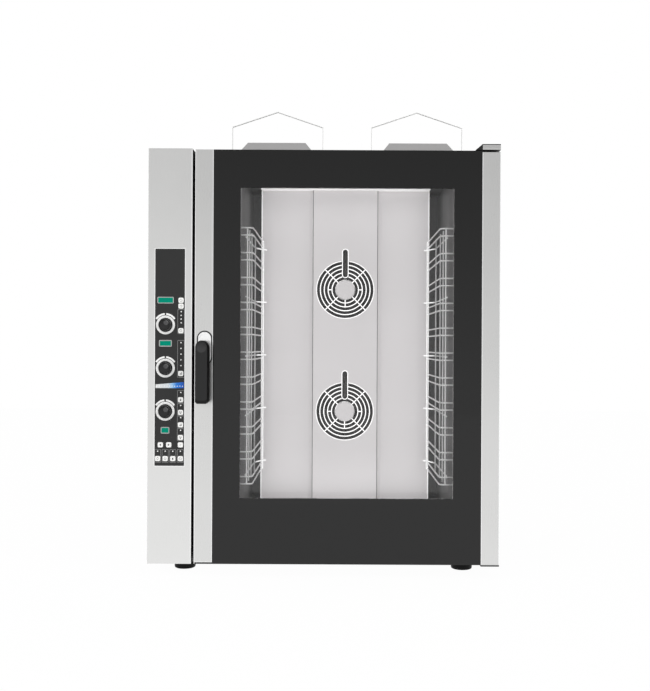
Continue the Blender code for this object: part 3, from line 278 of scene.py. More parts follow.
# Insulation jacket: pale yellow-grey fibre mat.
WOOL = Finish("mineral_wool_mat", "#a79f86", 0.95, 0.0, 2.2, Grain.EVEN, 0.3, 0.04, 0.6, 30.0)
# Seals, bumpers and gaskets: matt black silicone with a fine bloom; the same black is painted shade round the
# escutcheon and makes the dark strip across the foot of the handle's profile.
BLACK_RUBBER_AND_SHADE = Finish("black_silicone_and_painted_shade", "#1d1d1d", 0.62, 0.0, 0.5, Grain.EVEN, 0.15, 0.1, 0.03)
# Strip down the side of the column: dark grey, painted shade in the gap by the door.
GAP_SHADE_STRIP_BLACK = Finish("gap_painted_shade_strip", "#262626", 0.6, 0.0, 0.5, Grain.EVEN, 0.12, 0.08, 0.02)
# Feet: moulded black rubber, nearly without shine.
FOOT_RUBBER = Finish("moulded_foot_rubber", "#050505", 0.5, 0.0, 0.7, Grain.EVEN, 0.2, 0.1, 0.05, shine=0.15)
# Knobs, lever face and cable gland: black moulded plastic with a fine spark-eroded texture.
LEVER_PLASTIC = Finish(
    "black_moulded_plastic", "#141415", 0.36, 0.0, 0.35, Grain.EVEN, 0.12, 0.06, 0.02, shine=0.4
)
# Sides and chamfers of the lever: the same plastic, painted darker as shade.
LEVER_SHADED_SIDE = Finish(
    "black_plastic_painted_shade_edge", "#060606", 0.42, 0.0, 0.35, Grain.EVEN, 0.12, 0.06, 0.01, shine=0.25
)
# Lining of the knob dimples: the same plastic painted grey, a painted highlight in the dimple.
DIMPLE_HIGHLIGHT_PLASTIC = Finish("dimple_painted_highlight_plastic", "#454546", 0.34, 0.0, 0.4, Grain.EVEN, 0.08, 0.05, 0.004)
# Lever cap: the same plastic, polished.
CAP_PLASTIC = Finish("polished_black_plastic", "#242425", 0.22, 0.0, 0.5, Grain.EVEN, 0.10, 0.05, 0.006)
# Keypad film: dark grey satin polyester over the whole panel.
KEYPAD_FILM = Finish("dark_keypad_film", "#1b1b1b", 0.40, 0.0, 0.25, Grain.EVEN, 0.08, 0.06, 0.006)
# Black ceramic print fused into the glass: deep and glossy, showing only the glass's own reflection.
GLASS_PRINT = Finish("black_printed_glass", "#040404", 0.05, 0.0, 0.4, Grain.EVEN, 0.05, 0.02, shine=0.46)
# White screen ink of rings, arcs, lamps and scale dots.
WHITE_INK = Finish("white_screen_ink", "#f2f2f1", 0.45, 0.0, 0.2, Grain.EVEN, 0.03, 0.05, 0.004)
# Pale grey ink of the display frames.
FRAME_INK = Finish("pale_grey_screen_ink", "#a6a6a6", 0.45, 0.0, 0.2, Grain.EVEN, 0.04, 0.05, 0.004)
# Grey screen ink of the thin outlines and the line on each knob.
GREY_INK = Finish("grey_screen_ink", "#8c8c8c", 0.5, 0.0, 0.2, Grain.EVEN, 0.05, 0.05, 0.004)
# Dark ink of the marks on the keys.
MARK_INK = Finish("dark_key_ink", "#3a3a3c", 0.5, 0.0, 0.2, Grain.EVEN, 0.05, 0.05, 0.003)
# Key caps: warm white moulded plastic.
KEY_PLASTIC = Finish("white_key_plastic", "#f0f0ee", 0.42, 0.0, 0.3, Grain.EVEN, 0.03, 0.05, 0.008)
# Display window: green tinted filter with a faint glow of the lit segments behind it.
DISPLAY_GREEN = Finish(
    "green_display_filter",
    "#007f68",
    0.16,
    mark_mm=1.2,
    grain=Grain.UPRIGHT,
    tone=0.10,
    swing=0.04,
    cloud_mm=30.0,
    glow=0.12,
    shine=0.05,
)
# Display board behind the panel.
BOARD = Finish("display_circuit_board", "#14503c", 0.45, 0.0, 2.0, Grain.EVEN, 0.12, 0.06, 0.02)
# Door frame and bottom hinge bracket: painted black steel, half matt.
BLACK_STEEL = Finish("blackened_steel", "#2b2b2c", 0.45, 0.4, 0.6, Grain.EVEN, 0.12, 0.08, 0.01)
# Top hinge bracket: black powder coat with a fine orange-peel.
BLACK_COAT = Finish("black_powder_coat", "#0e0e0e", 0.42, 0.0, 0.5, Grain.EVEN, 0.12, 0.06, 0.02)
# Clear window pane and the inner pane.
DOOR_GLASS = ClearGlass("clear_door_glass", "#ffffff")


def facing(x: float, y: float, z: float) -> Matrix:
    """Gives the placing that lays a flat shape on the front, at that point, looking out of the oven."""
    return Matrix.Translation((x, y, z)) @ Matrix.Rotation(math.pi / 2, 4, "X")


def thicken(bm: BMesh, faces: Sequence[BMFace], depth: float) -> None:
    """Raises flat front-facing faces into a slab, towards the viewer.

    Args:
        bm: The mesh being built.
        faces: The flat faces, which become the back of the slab.
        depth: The slab's thickness in metres.
    """
    raised = bmesh.ops.extrude_face_region(bm, geom=list(faces), use_keep_orig=True)["geom"]
    bmesh.ops.translate(bm, verts=[v for v in raised if isinstance(v, BMVert)], vec=(0, -depth, 0))


def disc(bm: BMesh, x: float, z: float, radius: float, back: float, depth: float, segments: int = 32) -> None:
    """Adds a flat round slab to the front.

    Args:
        bm: The mesh being built.
        x: Centre across the oven.
        z: Centre height.
        radius: Radius of the disc.
        back: Y of its back face.
        depth: How far it stands out.
        segments: Sides of the circle.
    """
    place = facing(x, back, z)
    made = bmesh.ops.create_circle(bm, cap_ends=True, segments=segments, radius=radius, matrix=place)
    thicken(bm, list({f for v in made["verts"] for f in v.link_faces}), depth)


def patch(bm: BMesh, outline: Sequence[tuple[float, float]], back: float, depth: float) -> None:
    """Adds a flat slab of any outline to the front.

    Args:
        bm: The mesh being built.
        outline: X and Z of each corner, in order.
        back: Y of its back face.
        depth: How far it stands out.
    """
    corners = [bm.verts.new((x, back, z)) for x, z in outline]
    thicken(bm, [bmesh.ops.contextual_create(bm, geom=corners)["faces"][0]], depth)


def bar(bm: BMesh, place: Matrix, reach: float, wide: float, depth: float) -> None:
    """Adds a flat straight bar to the front.

    Args:
        bm: The mesh being built.
        place: Its middle, with the placing's own X along the bar.
        reach: Its length.
        wide: Its width.
        depth: How far it stands out.
    """
    size = Matrix.Diagonal((reach, wide, 1, 1))
    made = bmesh.ops.create_grid(bm, x_segments=1, y_segments=1, size=0.5, matrix=place @ size)["verts"]
    thicken(bm, list({f for v in made for f in v.link_faces}), depth)


def band(
    bm: BMesh,
    x: float,
    z: float,
    inner: float,
    outer: float,
    start: float,
    sweep: float,
    back: float,
    depth: float,
) -> None:
    """Adds a flat ring, or a part of one, to the front.

    Args:
        bm: The mesh being built.
        x: Centre across the oven.
        z: Centre height.
        inner: Inner radius.
        outer: Outer radius.
        start: Angle where it starts, in degrees from the right, turning upwards.
        sweep: Degrees it covers; 360 makes a full ring.
        back: Y of its back face.
        depth: How far it stands out.
    """
    angle = math.radians(start)
    reach = Vector((math.cos(angle), 0, math.sin(angle)))
    centre = Vector((x, back, z))
    ends = [bm.verts.new(centre + reach * r) for r in (inner, outer)]
    edge = bm.edges.new(ends)
    before = set(bm.faces)
    bmesh.ops.spin(
        bm,
        geom=[*ends, edge],
        cent=centre,
        axis=(0, -1, 0),
        angle=math.radians(sweep),
        steps=max(6, int(abs(sweep) / 6)),
        use_merge=sweep >= 360,
    )
    thicken(bm, [f for f in bm.faces if f not in before], depth)


def tile(
    bm: BMesh,
    low: tuple[float, float],
    high: tuple[float, float],
    corner: float,
    back: float,
    depth: float,
    border: float = 0.0,
) -> None:
    """Adds a rounded rectangular slab to the front, or only its border.

    Args:
        bm: The mesh being built.
        low: Lowest X and Z.
        high: Highest X and Z.
        corner: Radius of the corners.
        back: Y of its back face.
        depth: How far it stands out.
        border: Width of the border that is left, or nothing for a full slab.
    """
    size = Vector((high[0] - low[0], high[1] - low[1], 1.0))
    place = facing((low[0] + high[0]) / 2, back, (low[1] + high[1]) / 2) @ Matrix.Diagonal((*size, 1.0))
    made = bmesh.ops.create_grid(bm, x_segments=1, y_segments=1, size=0.5, matrix=place)["verts"]
    faces = list({f for v in made for f in v.link_faces})
    if corner:
        before = set(bm.faces) - set(faces)
        bmesh.ops.bevel(
            bm,
            geom=made,
            offset=corner,
            offset_type="OFFSET",
            segments=6,
            profile=0.5,
            affect="VERTICES",
            material=-1,
        )
        faces = [f for f in bm.faces if f not in before]
    if border:
        rim = bmesh.ops.inset_region(
            bm, faces=faces, thickness=border, use_boundary=True, use_even_offset=True
        )["faces"]
        bmesh.ops.delete(bm, geom=[f for f in faces if f.is_valid and f not in rim], context="FACES_ONLY")
        faces = rim
    thicken(bm, faces, depth)


def lathe(bm: BMesh, place: Matrix, profile: Sequence[tuple[float, float]], steps: int = 40) -> None:
    """Turns an outline of radius and height into a round solid.

    Args:
        bm: The mesh being built.
        place: Where its foot is; heights run along the placing's own Z.
        profile: Radius and height of each corner, from the foot to the top.
        steps: Sides of the turned shape.
    """
    corners = [bm.verts.new(place @ Vector((radius, 0, height))) for radius, height in profile]
    edges = [bm.edges.new(pair) for pair in zip(corners, corners[1:])]
    axis = (place.to_3x3() @ Vector((0, 0, 1))).normalized()
    geometry = [*corners, *edges]
    centre = place.translation
    bmesh.ops.spin(bm, geom=geometry, cent=centre, axis=axis, angle=math.tau, steps=steps, use_merge=True)
    bmesh.ops.remove_doubles(bm, verts=bm.verts, dist=1e-6)


def make_piece(
    name: str,
    bm: BMesh,
    finish: Any,
    body: str,
    replaced: Iterable[str] = (),
    smooth: float = 30.0,
) -> bpy.types.Object:
    """Turns a built mesh into a finished piece of the oven.

    Args:
        name: The piece's name.
        bm: Its mesh, which is freed.
        finish: The finish that dresses it.
        body: The moving body it rides on.
        replaced: The plain solids that it stands for.
        smooth: Edges flatter than this many degrees are shaded round.

    Returns:
        The new object.
    """
    bmesh.ops.recalc_face_normals(bm, faces=bm.faces)
    mesh = bpy.data.meshes.new(name)
    bm.to_mesh(mesh)
    bm.free()
    return place_mesh(name, mesh, finish, body, replaced, smooth)


def place_mesh(
    name: str,
    mesh: bpy.types.Mesh,
    finish: Any,
    body: str,
    replaced: Iterable[str] = (),
    smooth: float = 30.0,
) -> bpy.types.Object:
    """Puts a finished mesh into the scene as a piece of the oven.

    Args:
        name: The piece's name.
        mesh: Its mesh.
        finish: The finish that dresses it.
        body: The moving body it rides on.
        replaced: The plain solids that it stands for.
        smooth: Edges flatter than this many degrees are shaded round.

    Returns:
        The new object.
    """
    mesh.materials.clear()
    mesh.materials.append(finish.material())
    mesh.shade_smooth()
    mesh.set_sharp_from_angle(angle=math.radians(smooth))
    piece = bpy.data.objects.new(name, mesh)
    bpy.context.scene.collection.objects.link(piece)
    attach(piece, body)
    if replaced:
        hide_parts(*replaced)
    LOG.info("%s: %d faces on %s", name, len(mesh.polygons), body)
    return piece


def dress(names: Iterable[str], finish: Any, edge_mm: float = 0.0) -> None:
    """Dresses solids whose shape is right, and breaks their edges.

    Args:
        names: The solids' names.
        finish: The finish that dresses them.
        edge_mm: Width of the broken edges, or nothing to leave them sharp.
    """
    for name in names:
        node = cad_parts[name]
        for place in node.material_slots:
            place.material = finish.material()
        if edge_mm:
            weld = node.modifiers.new("weld", "WELD")
            weld.merge_threshold = 1e-5
            edges = node.modifiers.new("broken_edges", "BEVEL")
            edges.width = edge_mm * MM
            edges.segments = 3
            edges.limit_method = "ANGLE"
            edges.angle_limit = math.radians(40)
        LOG.info("%s dressed in %s", name, finish.name)


def wire_mesh(name: str, runs: Sequence[Sequence[Vector]], radius: float, sides: int = 2) -> bpy.types.Mesh:
    """Makes round wires along straight or bent runs.

    Args:
        name: Name of the mesh.
        runs: The points of each wire.
        radius: Radius of the wire.
        sides: Roundness of the wire's section.

    Returns:
        One mesh with every wire in it.
    """
    curve = bpy.data.curves.new(name, "CURVE")
    curve.dimensions = "3D"
    curve.bevel_depth = radius
    curve.bevel_resolution = sides
    curve.use_fill_caps = True
    for run in runs:
        spline = curve.splines.new("POLY")
        spline.points.add(len(run) - 1)
        for point, place in zip(spline.points, run):
            point.co = (*place, 1.0)
    carrier = bpy.data.objects.new(f"{name}_curve", curve)
    bpy.context.scene.collection.objects.link(carrier)
    mesh = bpy.data.meshes.new_from_object(carrier.evaluated_get(bpy.context.evaluated_depsgraph_get()))
    mesh.name = name
    bpy.data.objects.remove(carrier)
    bpy.data.curves.remove(curve)
    return mesh


def rounded(points: Sequence[Vector], radius: float, steps: int = 7) -> list[Vector]:
    """Rounds the corners of a run of points.

    Args:
        points: The run's corners.
        radius: Bend radius at each inner corner.
        steps: Points on each bend.

    Returns:
        The run with its bends.
    """
    run = [points[0]]
    for before, corner, after in zip(points, points[1:], points[2:]):
        into, out = (before - corner).normalized(), (after - corner).normalized()
        half = math.acos(max(-1.0, min(1.0, into.dot(out)))) / 2
        spare = 0.45 * min((before - corner).length, (after - corner).length)
        setback = min(radius / math.tan(half), spare)
        first, last = corner + into * setback, corner + out * setback
        for n in range(steps + 1):
            t = n / steps
            run.append(first * (1 - t) ** 2 + corner * 2 * t * (1 - t) + last * t**2)
    run.append(points[-1])
    return run


@dataclass
class Studio:
    """Plain white studio with the photograph's camera, two room lamps and the lamps in the cavity."""

    eye: tuple[float, float, float] = (0.0298, -2.815, 0.6156)
    lens_mm: float = 47.34
    sensor_mm: float = 36.0
    roll_degrees: float = 0.27
    picture_pixels: int = 691
    shift_pixels: tuple[float, float] = (-10.0, 0.5)
    aim: tuple[float, float, float] = (0.0, -0.2, 0.6)
    room_lamp: float = 1.6
    cavity_x: float = 0.0625
    cavity_z: float = 0.616
    cavity_wide: float = 0.59
    lamp_y: float = -0.07
    baffle_y: float = 0.03
    strip: float = 0.12
    room_light: float = 0.85
    floor_glow: float = 0.975

    def build(self) -> None:
        """Sets the camera, the lamps, the world and the floor."""
        scene = bpy.context.scene
        scene.view_settings.view_transform = "Standard"
        self.camera(scene)
        self.lamp("key_lamp", (-1.9, -2.6, 2.9), self.aim, self.room_lamp, 34.0)
        self.lamp("fill_lamp", (2.2, -2.4, 1.9), self.aim, self.room_lamp, 22.0)
        x, z, near, back, wide = self.cavity_x, self.cavity_z, self.lamp_y, self.baffle_y, self.cavity_wide
        self.lamp("rack_lamp", (x, -0.325, 0.62), (x, back, 0.62), 0.92, 0.65, 0.56)
        self.lamp("baffle_lamp", (x, -0.03, z), (x, back, z), 0.965, 2.15, wide)
        self.lamp("ceiling_lamp", (x, near, 1.03), (x, back, 1.05), self.strip, 0.1, wide)
        self.lamp("hearth_lamp", (x, near, 0.17), (x, back, 0.155), self.strip, 0.13, wide)
        for name, side in (("left_wall_lamp", -0.14), ("right_wall_lamp", 0.262)):
            self.lamp(name, (side, near, z), (side, back, z), 0.9, 0.085, 0.1)
        self.world(scene)
        self.floor(scene)

    def camera(self, scene: bpy.types.Scene) -> None:
        """Makes the camera and hands it to the scene."""
        data = bpy.data.cameras.new("photo_camera")
        data.lens = self.lens_mm
        data.sensor_width = self.sensor_mm
        data.shift_x, data.shift_y = (shift / self.picture_pixels for shift in self.shift_pixels)
        data.clip_end = 50.0
        camera = bpy.data.objects.new("photo_camera", data)
        turn = Matrix.Rotation(math.pi / 2, 4, "X") @ Matrix.Rotation(math.radians(self.roll_degrees), 4, "Z")
        camera.matrix_world = Matrix.Translation(self.eye) @ turn
        scene.collection.objects.link(camera)
        scene.camera = camera

    def lamp(
        self,
        name: str,
        place: tuple[float, float, float],
        target: tuple[float, float, float],
        size: float,
        watts: float,
        wide: float = 0.0,
    ) -> None:
        """Hangs one soft lamp.

        Args:
            name: The lamp's name.
            place: Where it hangs.
            target: What it points at.
            size: Side of the lamp, or its height if it is wide.
            watts: Its power.
            wide: Width of an oblong lamp.
        """
        data = bpy.data.lights.new(name, "AREA")
        data.energy = watts
        data.size = wide or size
        if wide:
            data.shape = "RECTANGLE"
            data.size_y = size
        lamp = bpy.data.objects.new(name, data)
        aim = (Vector(target) - Vector(place)).to_track_quat("-Z", "Y")
        lamp.matrix_world = Matrix.Translation(place) @ aim.to_matrix().to_4x4()
        lamp.visible_glossy = False
        bpy.context.scene.collection.objects.link(lamp)

    def seen(self, tree: bpy.types.NodeTree) -> bpy.types.NodeSocket:
        """Adds the test for rays that end in the picture, straight or by way of a mirror or a glass.

        Args:
            tree: The node tree that asks.

        Returns:
            The socket that is one for such rays.
        """
        path = add_node(tree, "ShaderNodeLightPath").outputs
        test = path["Is Camera Ray"]
        for name in ("Is Glossy Ray", "Is Transmission Ray"):
            test = add_node(tree, "ShaderNodeMath", {0: test, 1: path[name]}, operation="MAXIMUM").outputs[0]
        return test

    def world(self, scene: bpy.types.Scene) -> None:
        """Gives the room its even light and its white walls, darker in mirrors above and to the right."""
        world = bpy.data.worlds.new("white_room")
        world.use_nodes = True
        tree = world.node_tree
        tree.nodes.clear()
        way = add_node(tree, "ShaderNodeTexCoord").outputs["Generated"]
        axes = add_node(tree, "ShaderNodeSeparateXYZ", {0: way}).outputs
        fall = {"Value": axes["Z"], "From Min": -0.05, "From Max": 0.25, "To Min": 1.0, "To Max": 0.62}
        up = add_node(tree, "ShaderNodeMapRange", fall).outputs[0]
        fall = {"Value": axes["X"], "From Min": -0.2, "From Max": 0.3, "To Min": 1.0, "To Max": 0.88}
        right = add_node(tree, "ShaderNodeMapRange", fall).outputs[0]
        wall = add_node(tree, "ShaderNodeMath", {0: up, 1: right}, operation="MULTIPLY").outputs[0]
        plain = add_node(tree, "ShaderNodeLightPath").outputs["Is Camera Ray"]
        wall = add_node(tree, "ShaderNodeMath", {0: wall, 1: plain}, operation="MAXIMUM").outputs[0]
        levels = {0: self.seen(tree), 2: self.room_light, 3: wall}
        level = add_node(tree, "ShaderNodeMix", levels, data_type="FLOAT").outputs[0]
        sky = add_node(tree, "ShaderNodeBackground", {"Color": (1, 1, 1, 1), "Strength": level})
        add_node(tree, "ShaderNodeOutputWorld", {"Surface": sky.outputs[0]})
        scene.world = world

    def floor(self, scene: bpy.types.Scene) -> None:
        """Lays the pale floor, which keeps a soft shadow."""
        bm = bmesh.new()
        bmesh.ops.create_grid(bm, x_segments=2, y_segments=2, size=6.0)
        mesh = bpy.data.meshes.new("studio_floor")
        bm.to_mesh(mesh)
        bm.free()
        material = blank_material("white_floor_paint")
        tree = material.node_tree
        where = add_node(tree, "ShaderNodeTexCoord").outputs["Object"]
        marks = add_node(tree, "ShaderNodeTexNoise", {"Vector": where, "Scale": 40.0}).outputs["Fac"]
        worn = {"Value": marks, "To Min": 0.7, "To Max": 0.8}
        rough = add_node(tree, "ShaderNodeMapRange", worn).outputs[0]
        colour = linear("#f4f4f4")
        paint = add_node(tree, "ShaderNodeBsdfPrincipled", {"Base Color": colour, "Roughness": rough})
        glow = add_node(tree, "ShaderNodeEmission", {"Color": (1, 1, 1, 1), "Strength": 1.0})
        parts = {0: self.seen(tree), 1: self.floor_glow}
        share = add_node(tree, "ShaderNodeMath", parts, operation="MULTIPLY").outputs[0]
        mixed = add_node(tree, "ShaderNodeMixShader", {0: share, 1: paint.outputs[0], 2: glow.outputs[0]})
        add_node(tree, "ShaderNodeOutputMaterial", {"Surface": mixed.outputs[0]})
        mesh.materials.append(material)
        floor = bpy.data.objects.new("studio_floor", mesh)
        scene.collection.objects.link(floor)


@dataclass
class Casing:
    """Outer sheets, base, brackets, feet and the screws that hold the back and the roof."""

    foot_radius: float = 29 * MM
    foot_height: float = 35.7 * MM
    screw_radius: float = 4.0 * MM
    rear_columns: tuple[float, float] = (-450 * MM, 450 * MM)
    rear_screws: int = 7
    rear_first: float = 90 * MM
    rear_pitch: float = 170 * MM
    roof_rows: tuple[float, float] = (-300 * MM, 425 * MM)
    roof_screws: int = 6
    roof_first: float = -440 * MM
    roof_pitch: float = 176 * MM

    def build(self) -> None:
        """Dresses the sheets and builds feet and screws."""
        dress(("side_panel_left", "side_panel_right", "rear_panel", "roof_panel"), PANEL_STEEL, 0.4)
        dress(("base_pan", "latch_keeper"), ZINC_STEEL, 0.4)
        dress(("bottom_hinge_bracket",), BLACK_STEEL, 0.8)
        dress(("insulation_jacket",), WOOL)
        dress(("mains_gland",), LEVER_PLASTIC, 0.5)
        for side in ("front_left", "front_right", "rear_left", "rear_right"):
            self.foot(f"foot_{side}")
        self.screws()

    def foot(self, node: str) -> None:
        """Builds one adjustable foot with a moulded tread and a waist.

        Args:
            node: The plain solid that it stands for.
        """
        low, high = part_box(node)
        place = Matrix.Translation(((low[0] + high[0]) / 2, (low[1] + high[1]) / 2, 0.0))
        r, h = self.foot_radius, self.foot_height
        tread = [(0.0, 2 * MM), (r - 12 * MM, 2 * MM), (r - 11 * MM, 0.0), (r - 3 * MM, 0.0)]
        sole = [(r - 1 * MM, 1.2 * MM), (r, 4 * MM), (r, 17 * MM), (r - 1 * MM, 18.5 * MM)]
        waist = [(r - 2.2 * MM, 19 * MM), (r - 2.2 * MM, 21 * MM)]
        collar = [(r - 1 * MM, 21.6 * MM), (r, 23 * MM), (r, h - 1.2 * MM), (r - 1.2 * MM, h), (0.0, h)]
        bm = bmesh.new()
        lathe(bm, place, tread + sole + waist + collar, 48)
        make_piece(f"{node}_rubber", bm, FOOT_RUBBER, "oven_body", (node,))

    def screws(self) -> None:
        """Builds the pan-head screws round the rear panel and the roof."""
        r = self.screw_radius
        socket = [(0.0, 1.1 * MM), (1.5 * MM, 1.1 * MM), (1.7 * MM, 2.0 * MM)]
        profile = [*socket, (2.9 * MM, 1.8 * MM), (r * 0.95, 0.9 * MM), (r, 0.0)]
        back = Matrix.Rotation(-math.pi / 2, 4, "X")
        rear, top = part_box("rear_panel")[1][1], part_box("roof_panel")[1][2]
        bm = bmesh.new()
        for x in self.rear_columns:
            for n in range(self.rear_screws):
                place = Matrix.Translation((x, rear, self.rear_first + n * self.rear_pitch))
                lathe(bm, place @ back, profile, 14)
        for y in self.roof_rows:
            for n in range(self.roof_screws):
                place = Matrix.Translation((self.roof_first + n * self.roof_pitch, y, top))
                lathe(bm, place, profile, 14)
        make_piece("casing_screws", bm, BRIGHT_STEEL, "oven_body")


class Mark(Enum):
    """Plain signs printed on the key caps."""

    CLOCK = "clock"
    DROP = "drop"
    FAN = "fan"
    BARS = "bars"
    LEFT = "left"
    RIGHT = "right"
    LAMP = "lamp"
    RING = "ring"
    TICK = "tick"


@dataclass
class ControlColumn:
    """Control column: fascia, keypad with its print, displays, knobs and keys."""

    left: float = -447.7 * MM
    right: float = -368.9 * MM
    low: float = 295.7 * MM
    high: float = 871.5 * MM
    dial_x: float = -420 * MM
    dials: tuple[float, ...] = (669.5 * MM, 555 * MM, 440.5 * MM)
    lamp_x: float = -378.6 * MM
    lamp_radius: float = 1.7 * MM
    foot_lamp_z: float = 334.5 * MM
    bumpers: tuple[float, float] = (738.7 * MM, 390.9 * MM)
    rim_width: float = 1.6 * MM
    display_tall: float = 17.5 * MM
    filter_inset: float = 1 * MM
    outline_corner: float = 2 * MM
    outline_width: float = 0.9 * MM
    scale_foot: float = 501.9 * MM
    scale_left: float = 511.7 * MM
    scale_right: float = 518 * MM
    scale_dots: int = 11
    dimple_x: float = 4.6 * MM
    dimple_z: float = 5.2 * MM
    dimple_ball: float = 12 * MM
    dimple_stand: float = 10 * MM
    dimple_degrees: float = 32.0

    def build(self) -> None:
        """Dresses the fascia and builds everything on the keypad."""
        dress(("control_fascia",), COLUMN_STEEL, 0.5)
        dress(("keypad_overlay",), KEYPAD_FILM, 0.15)
        dress(("control_board",), BOARD)
        self.edges()
        self.rim()
        self.displays()
        self.prints()
        self.scale()
        for name, z in zip(("time", "temperature", "humidity"), self.dials):
            self.knob(name, z)
        self.keys()

    def edges(self) -> None:
        """Builds the strips of painted highlight along the fascia's edges, the door bumpers on its side and a
        dark strip there, painted shade in the gap.
        """
        # Near-white strips on the fascia's edges: a painted highlight.
        low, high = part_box("control_fascia")
        bm = bmesh.new()
        for left, right in ((low[0], low[0] + 1.6 * MM), (high[0] - 2.4 * MM, high[0])):
            foot, top = (left + 0.1 * MM, low[2] + 1 * MM), (right - 0.1 * MM, high[2] - 1 * MM)
            tile(bm, foot, top, 0.4 * MM, FRONT_Y, STRIP_DEPTH)
        make_piece("fascia_edge_highlights", bm, CHROME_AND_EDGE_HIGHLIGHT, "oven_body")
        bm = bmesh.new()
        crown = [(3.8 * MM, 3.8 * MM), (2.0 * MM, 4.6 * MM), (0.0, 4.8 * MM)]
        profile = [(0.0, 0.0), (4.6 * MM, 0.0), (4.6 * MM, 2.6 * MM), *crown]
        sideways = Matrix.Rotation(math.pi / 2, 4, "Y")
        for z in self.bumpers:
            lathe(bm, Matrix.Translation((high[0], FRONT_Y + 9 * MM, z)) @ sideways, profile, 24)
        make_piece("door_bumpers", bm, BLACK_RUBBER_AND_SHADE, "oven_body")
        # A dark strip on the column's side paints the shade down the gap by the door.
        bm = bmesh.new()
        place = Matrix.Translation((high[0] + 0.2 * MM, FRONT_Y + 25 * MM, (low[2] + high[2]) / 2))
        size = Matrix.Diagonal((0.5 * MM, 44 * MM, high[2] - low[2] - 2 * MM, 1.0))
        bmesh.ops.create_cube(bm, size=1.0, matrix=place @ size)
        make_piece("column_gap_shade_strip", bm, GAP_SHADE_STRIP_BLACK, "oven_body")

    def rim(self) -> None:
        """Builds the bright rim round the keypad."""
        bm = bmesh.new()
        edge = self.rim_width
        low, high = (self.left - edge, self.low - edge), (self.right + edge, self.high + edge)
        tile(bm, low, high, 3.5 * MM, FRONT_Y, 0.6 * MM, edge)
        make_piece("keypad_rim", bm, CHROME_AND_EDGE_HIGHLIGHT, "oven_body")

    def displays(self) -> None:
        """Builds the three displays, each a grey frame round a green filter."""
        frames, filters = bmesh.new(), bmesh.new()
        x, h, inset = self.dial_x, self.display_tall / 2, self.filter_inset
        # Height of the centre, width, and the width and height inside the frame, in millimetres.
        sizes = ((735.1, 43.2, 38.5, 11.9), (620.6, 34.2, 27.9, 11.4), (390.0, 22.8, 17.5, 11.4))
        for centre, wide, inner_wide, inner_tall in sizes:
            z, w = centre * MM, wide * MM / 2
            border = (h - inner_tall * MM / 2 + w - inner_wide * MM / 2) * 0.38
            tile(frames, (x - w, z - h), (x + w, z + h), 3.0 * MM, FRONT_Y, 0.5 * MM, border)
            low, high = (x - w + inset, z - h + inset), (x + w - inset, z + h - inset)
            tile(filters, low, high, 0.5 * MM, FRONT_Y, PRINT)
        make_piece("display_frames", frames, FRAME_INK, "oven_body")
        make_piece("display_filters", filters, DISPLAY_GREEN, "oven_body")

    def prints(self) -> None:
        """Builds the printed rings, arcs, lamps and outlines, whose places are in millimetres."""
        white, grey = bmesh.new(), bmesh.new()
        for z in self.dials:
            band(white, self.dial_x, z, 19.0 * MM, 25.0 * MM, 0, 360, FRONT_Y, PRINT)
            for start in (33, 94):
                band(white, self.dial_x, z, 26.5 * MM, 31.3 * MM, start, 53, FRONT_Y, PRINT)
        heights = (704.8, 695, 685.1, 675.3, 622.5, 607.2, 592, 576.9, 561.8, 490.5, 456.2, 423.6, 390.2)
        lamps = [(self.lamp_x, z * MM) for z in heights]
        columns = (-439.3, -419.2, -399.1, -379.0)
        lamps += [(x * MM, self.foot_lamp_z) for x in columns]
        for x, z in lamps:
            disc(white, x, z, self.lamp_radius, FRONT_Y, PRINT, 16)
        outlines = [(x * MM, 304.5, 339.5, 17.2) for x in columns]
        groups = [(646, 711, 18.8), (530, 629, 19.0), (462, 496, 18.8)]
        groups += [(428.8, 461, 18.8), (395.6, 428, 18.8), (362.4, 394.8, 18.8)]
        outlines += [(self.lamp_x, *group) for group in groups]
        for x, low, high, wide in outlines:
            ends = (x - wide * MM / 2, low * MM), (x + wide * MM / 2, high * MM)
            tile(grey, *ends, self.outline_corner, FRONT_Y, PRINT, self.outline_width)
        make_piece("keypad_white_print", white, WHITE_INK, "oven_body")
        make_piece("keypad_outlines", grey, GREY_INK, "oven_body")

    def scale(self) -> None:
        """Builds the rising steam scale under the middle dial, with its row of dots."""
        bm = bmesh.new()
        left, right, foot = self.left + 2 * MM, self.right - 2 * MM, self.scale_foot
        outline = ((left, foot), (right, foot), (right, self.scale_right), (left, self.scale_left))
        patch(bm, outline, FRONT_Y, PRINT)
        make_piece("steam_scale", bm, ScaleInk("steam_scale_ink", left, right), "oven_body")
        dots = bmesh.new()
        for n in range(self.scale_dots):
            x = left + (right - left) * (n + 0.5) / self.scale_dots
            disc(dots, x, 507 * MM, 1.3 * MM, FRONT_Y - PRINT, PRINT, 14)
        make_piece("steam_scale_dots", dots, WHITE_INK, "oven_body")

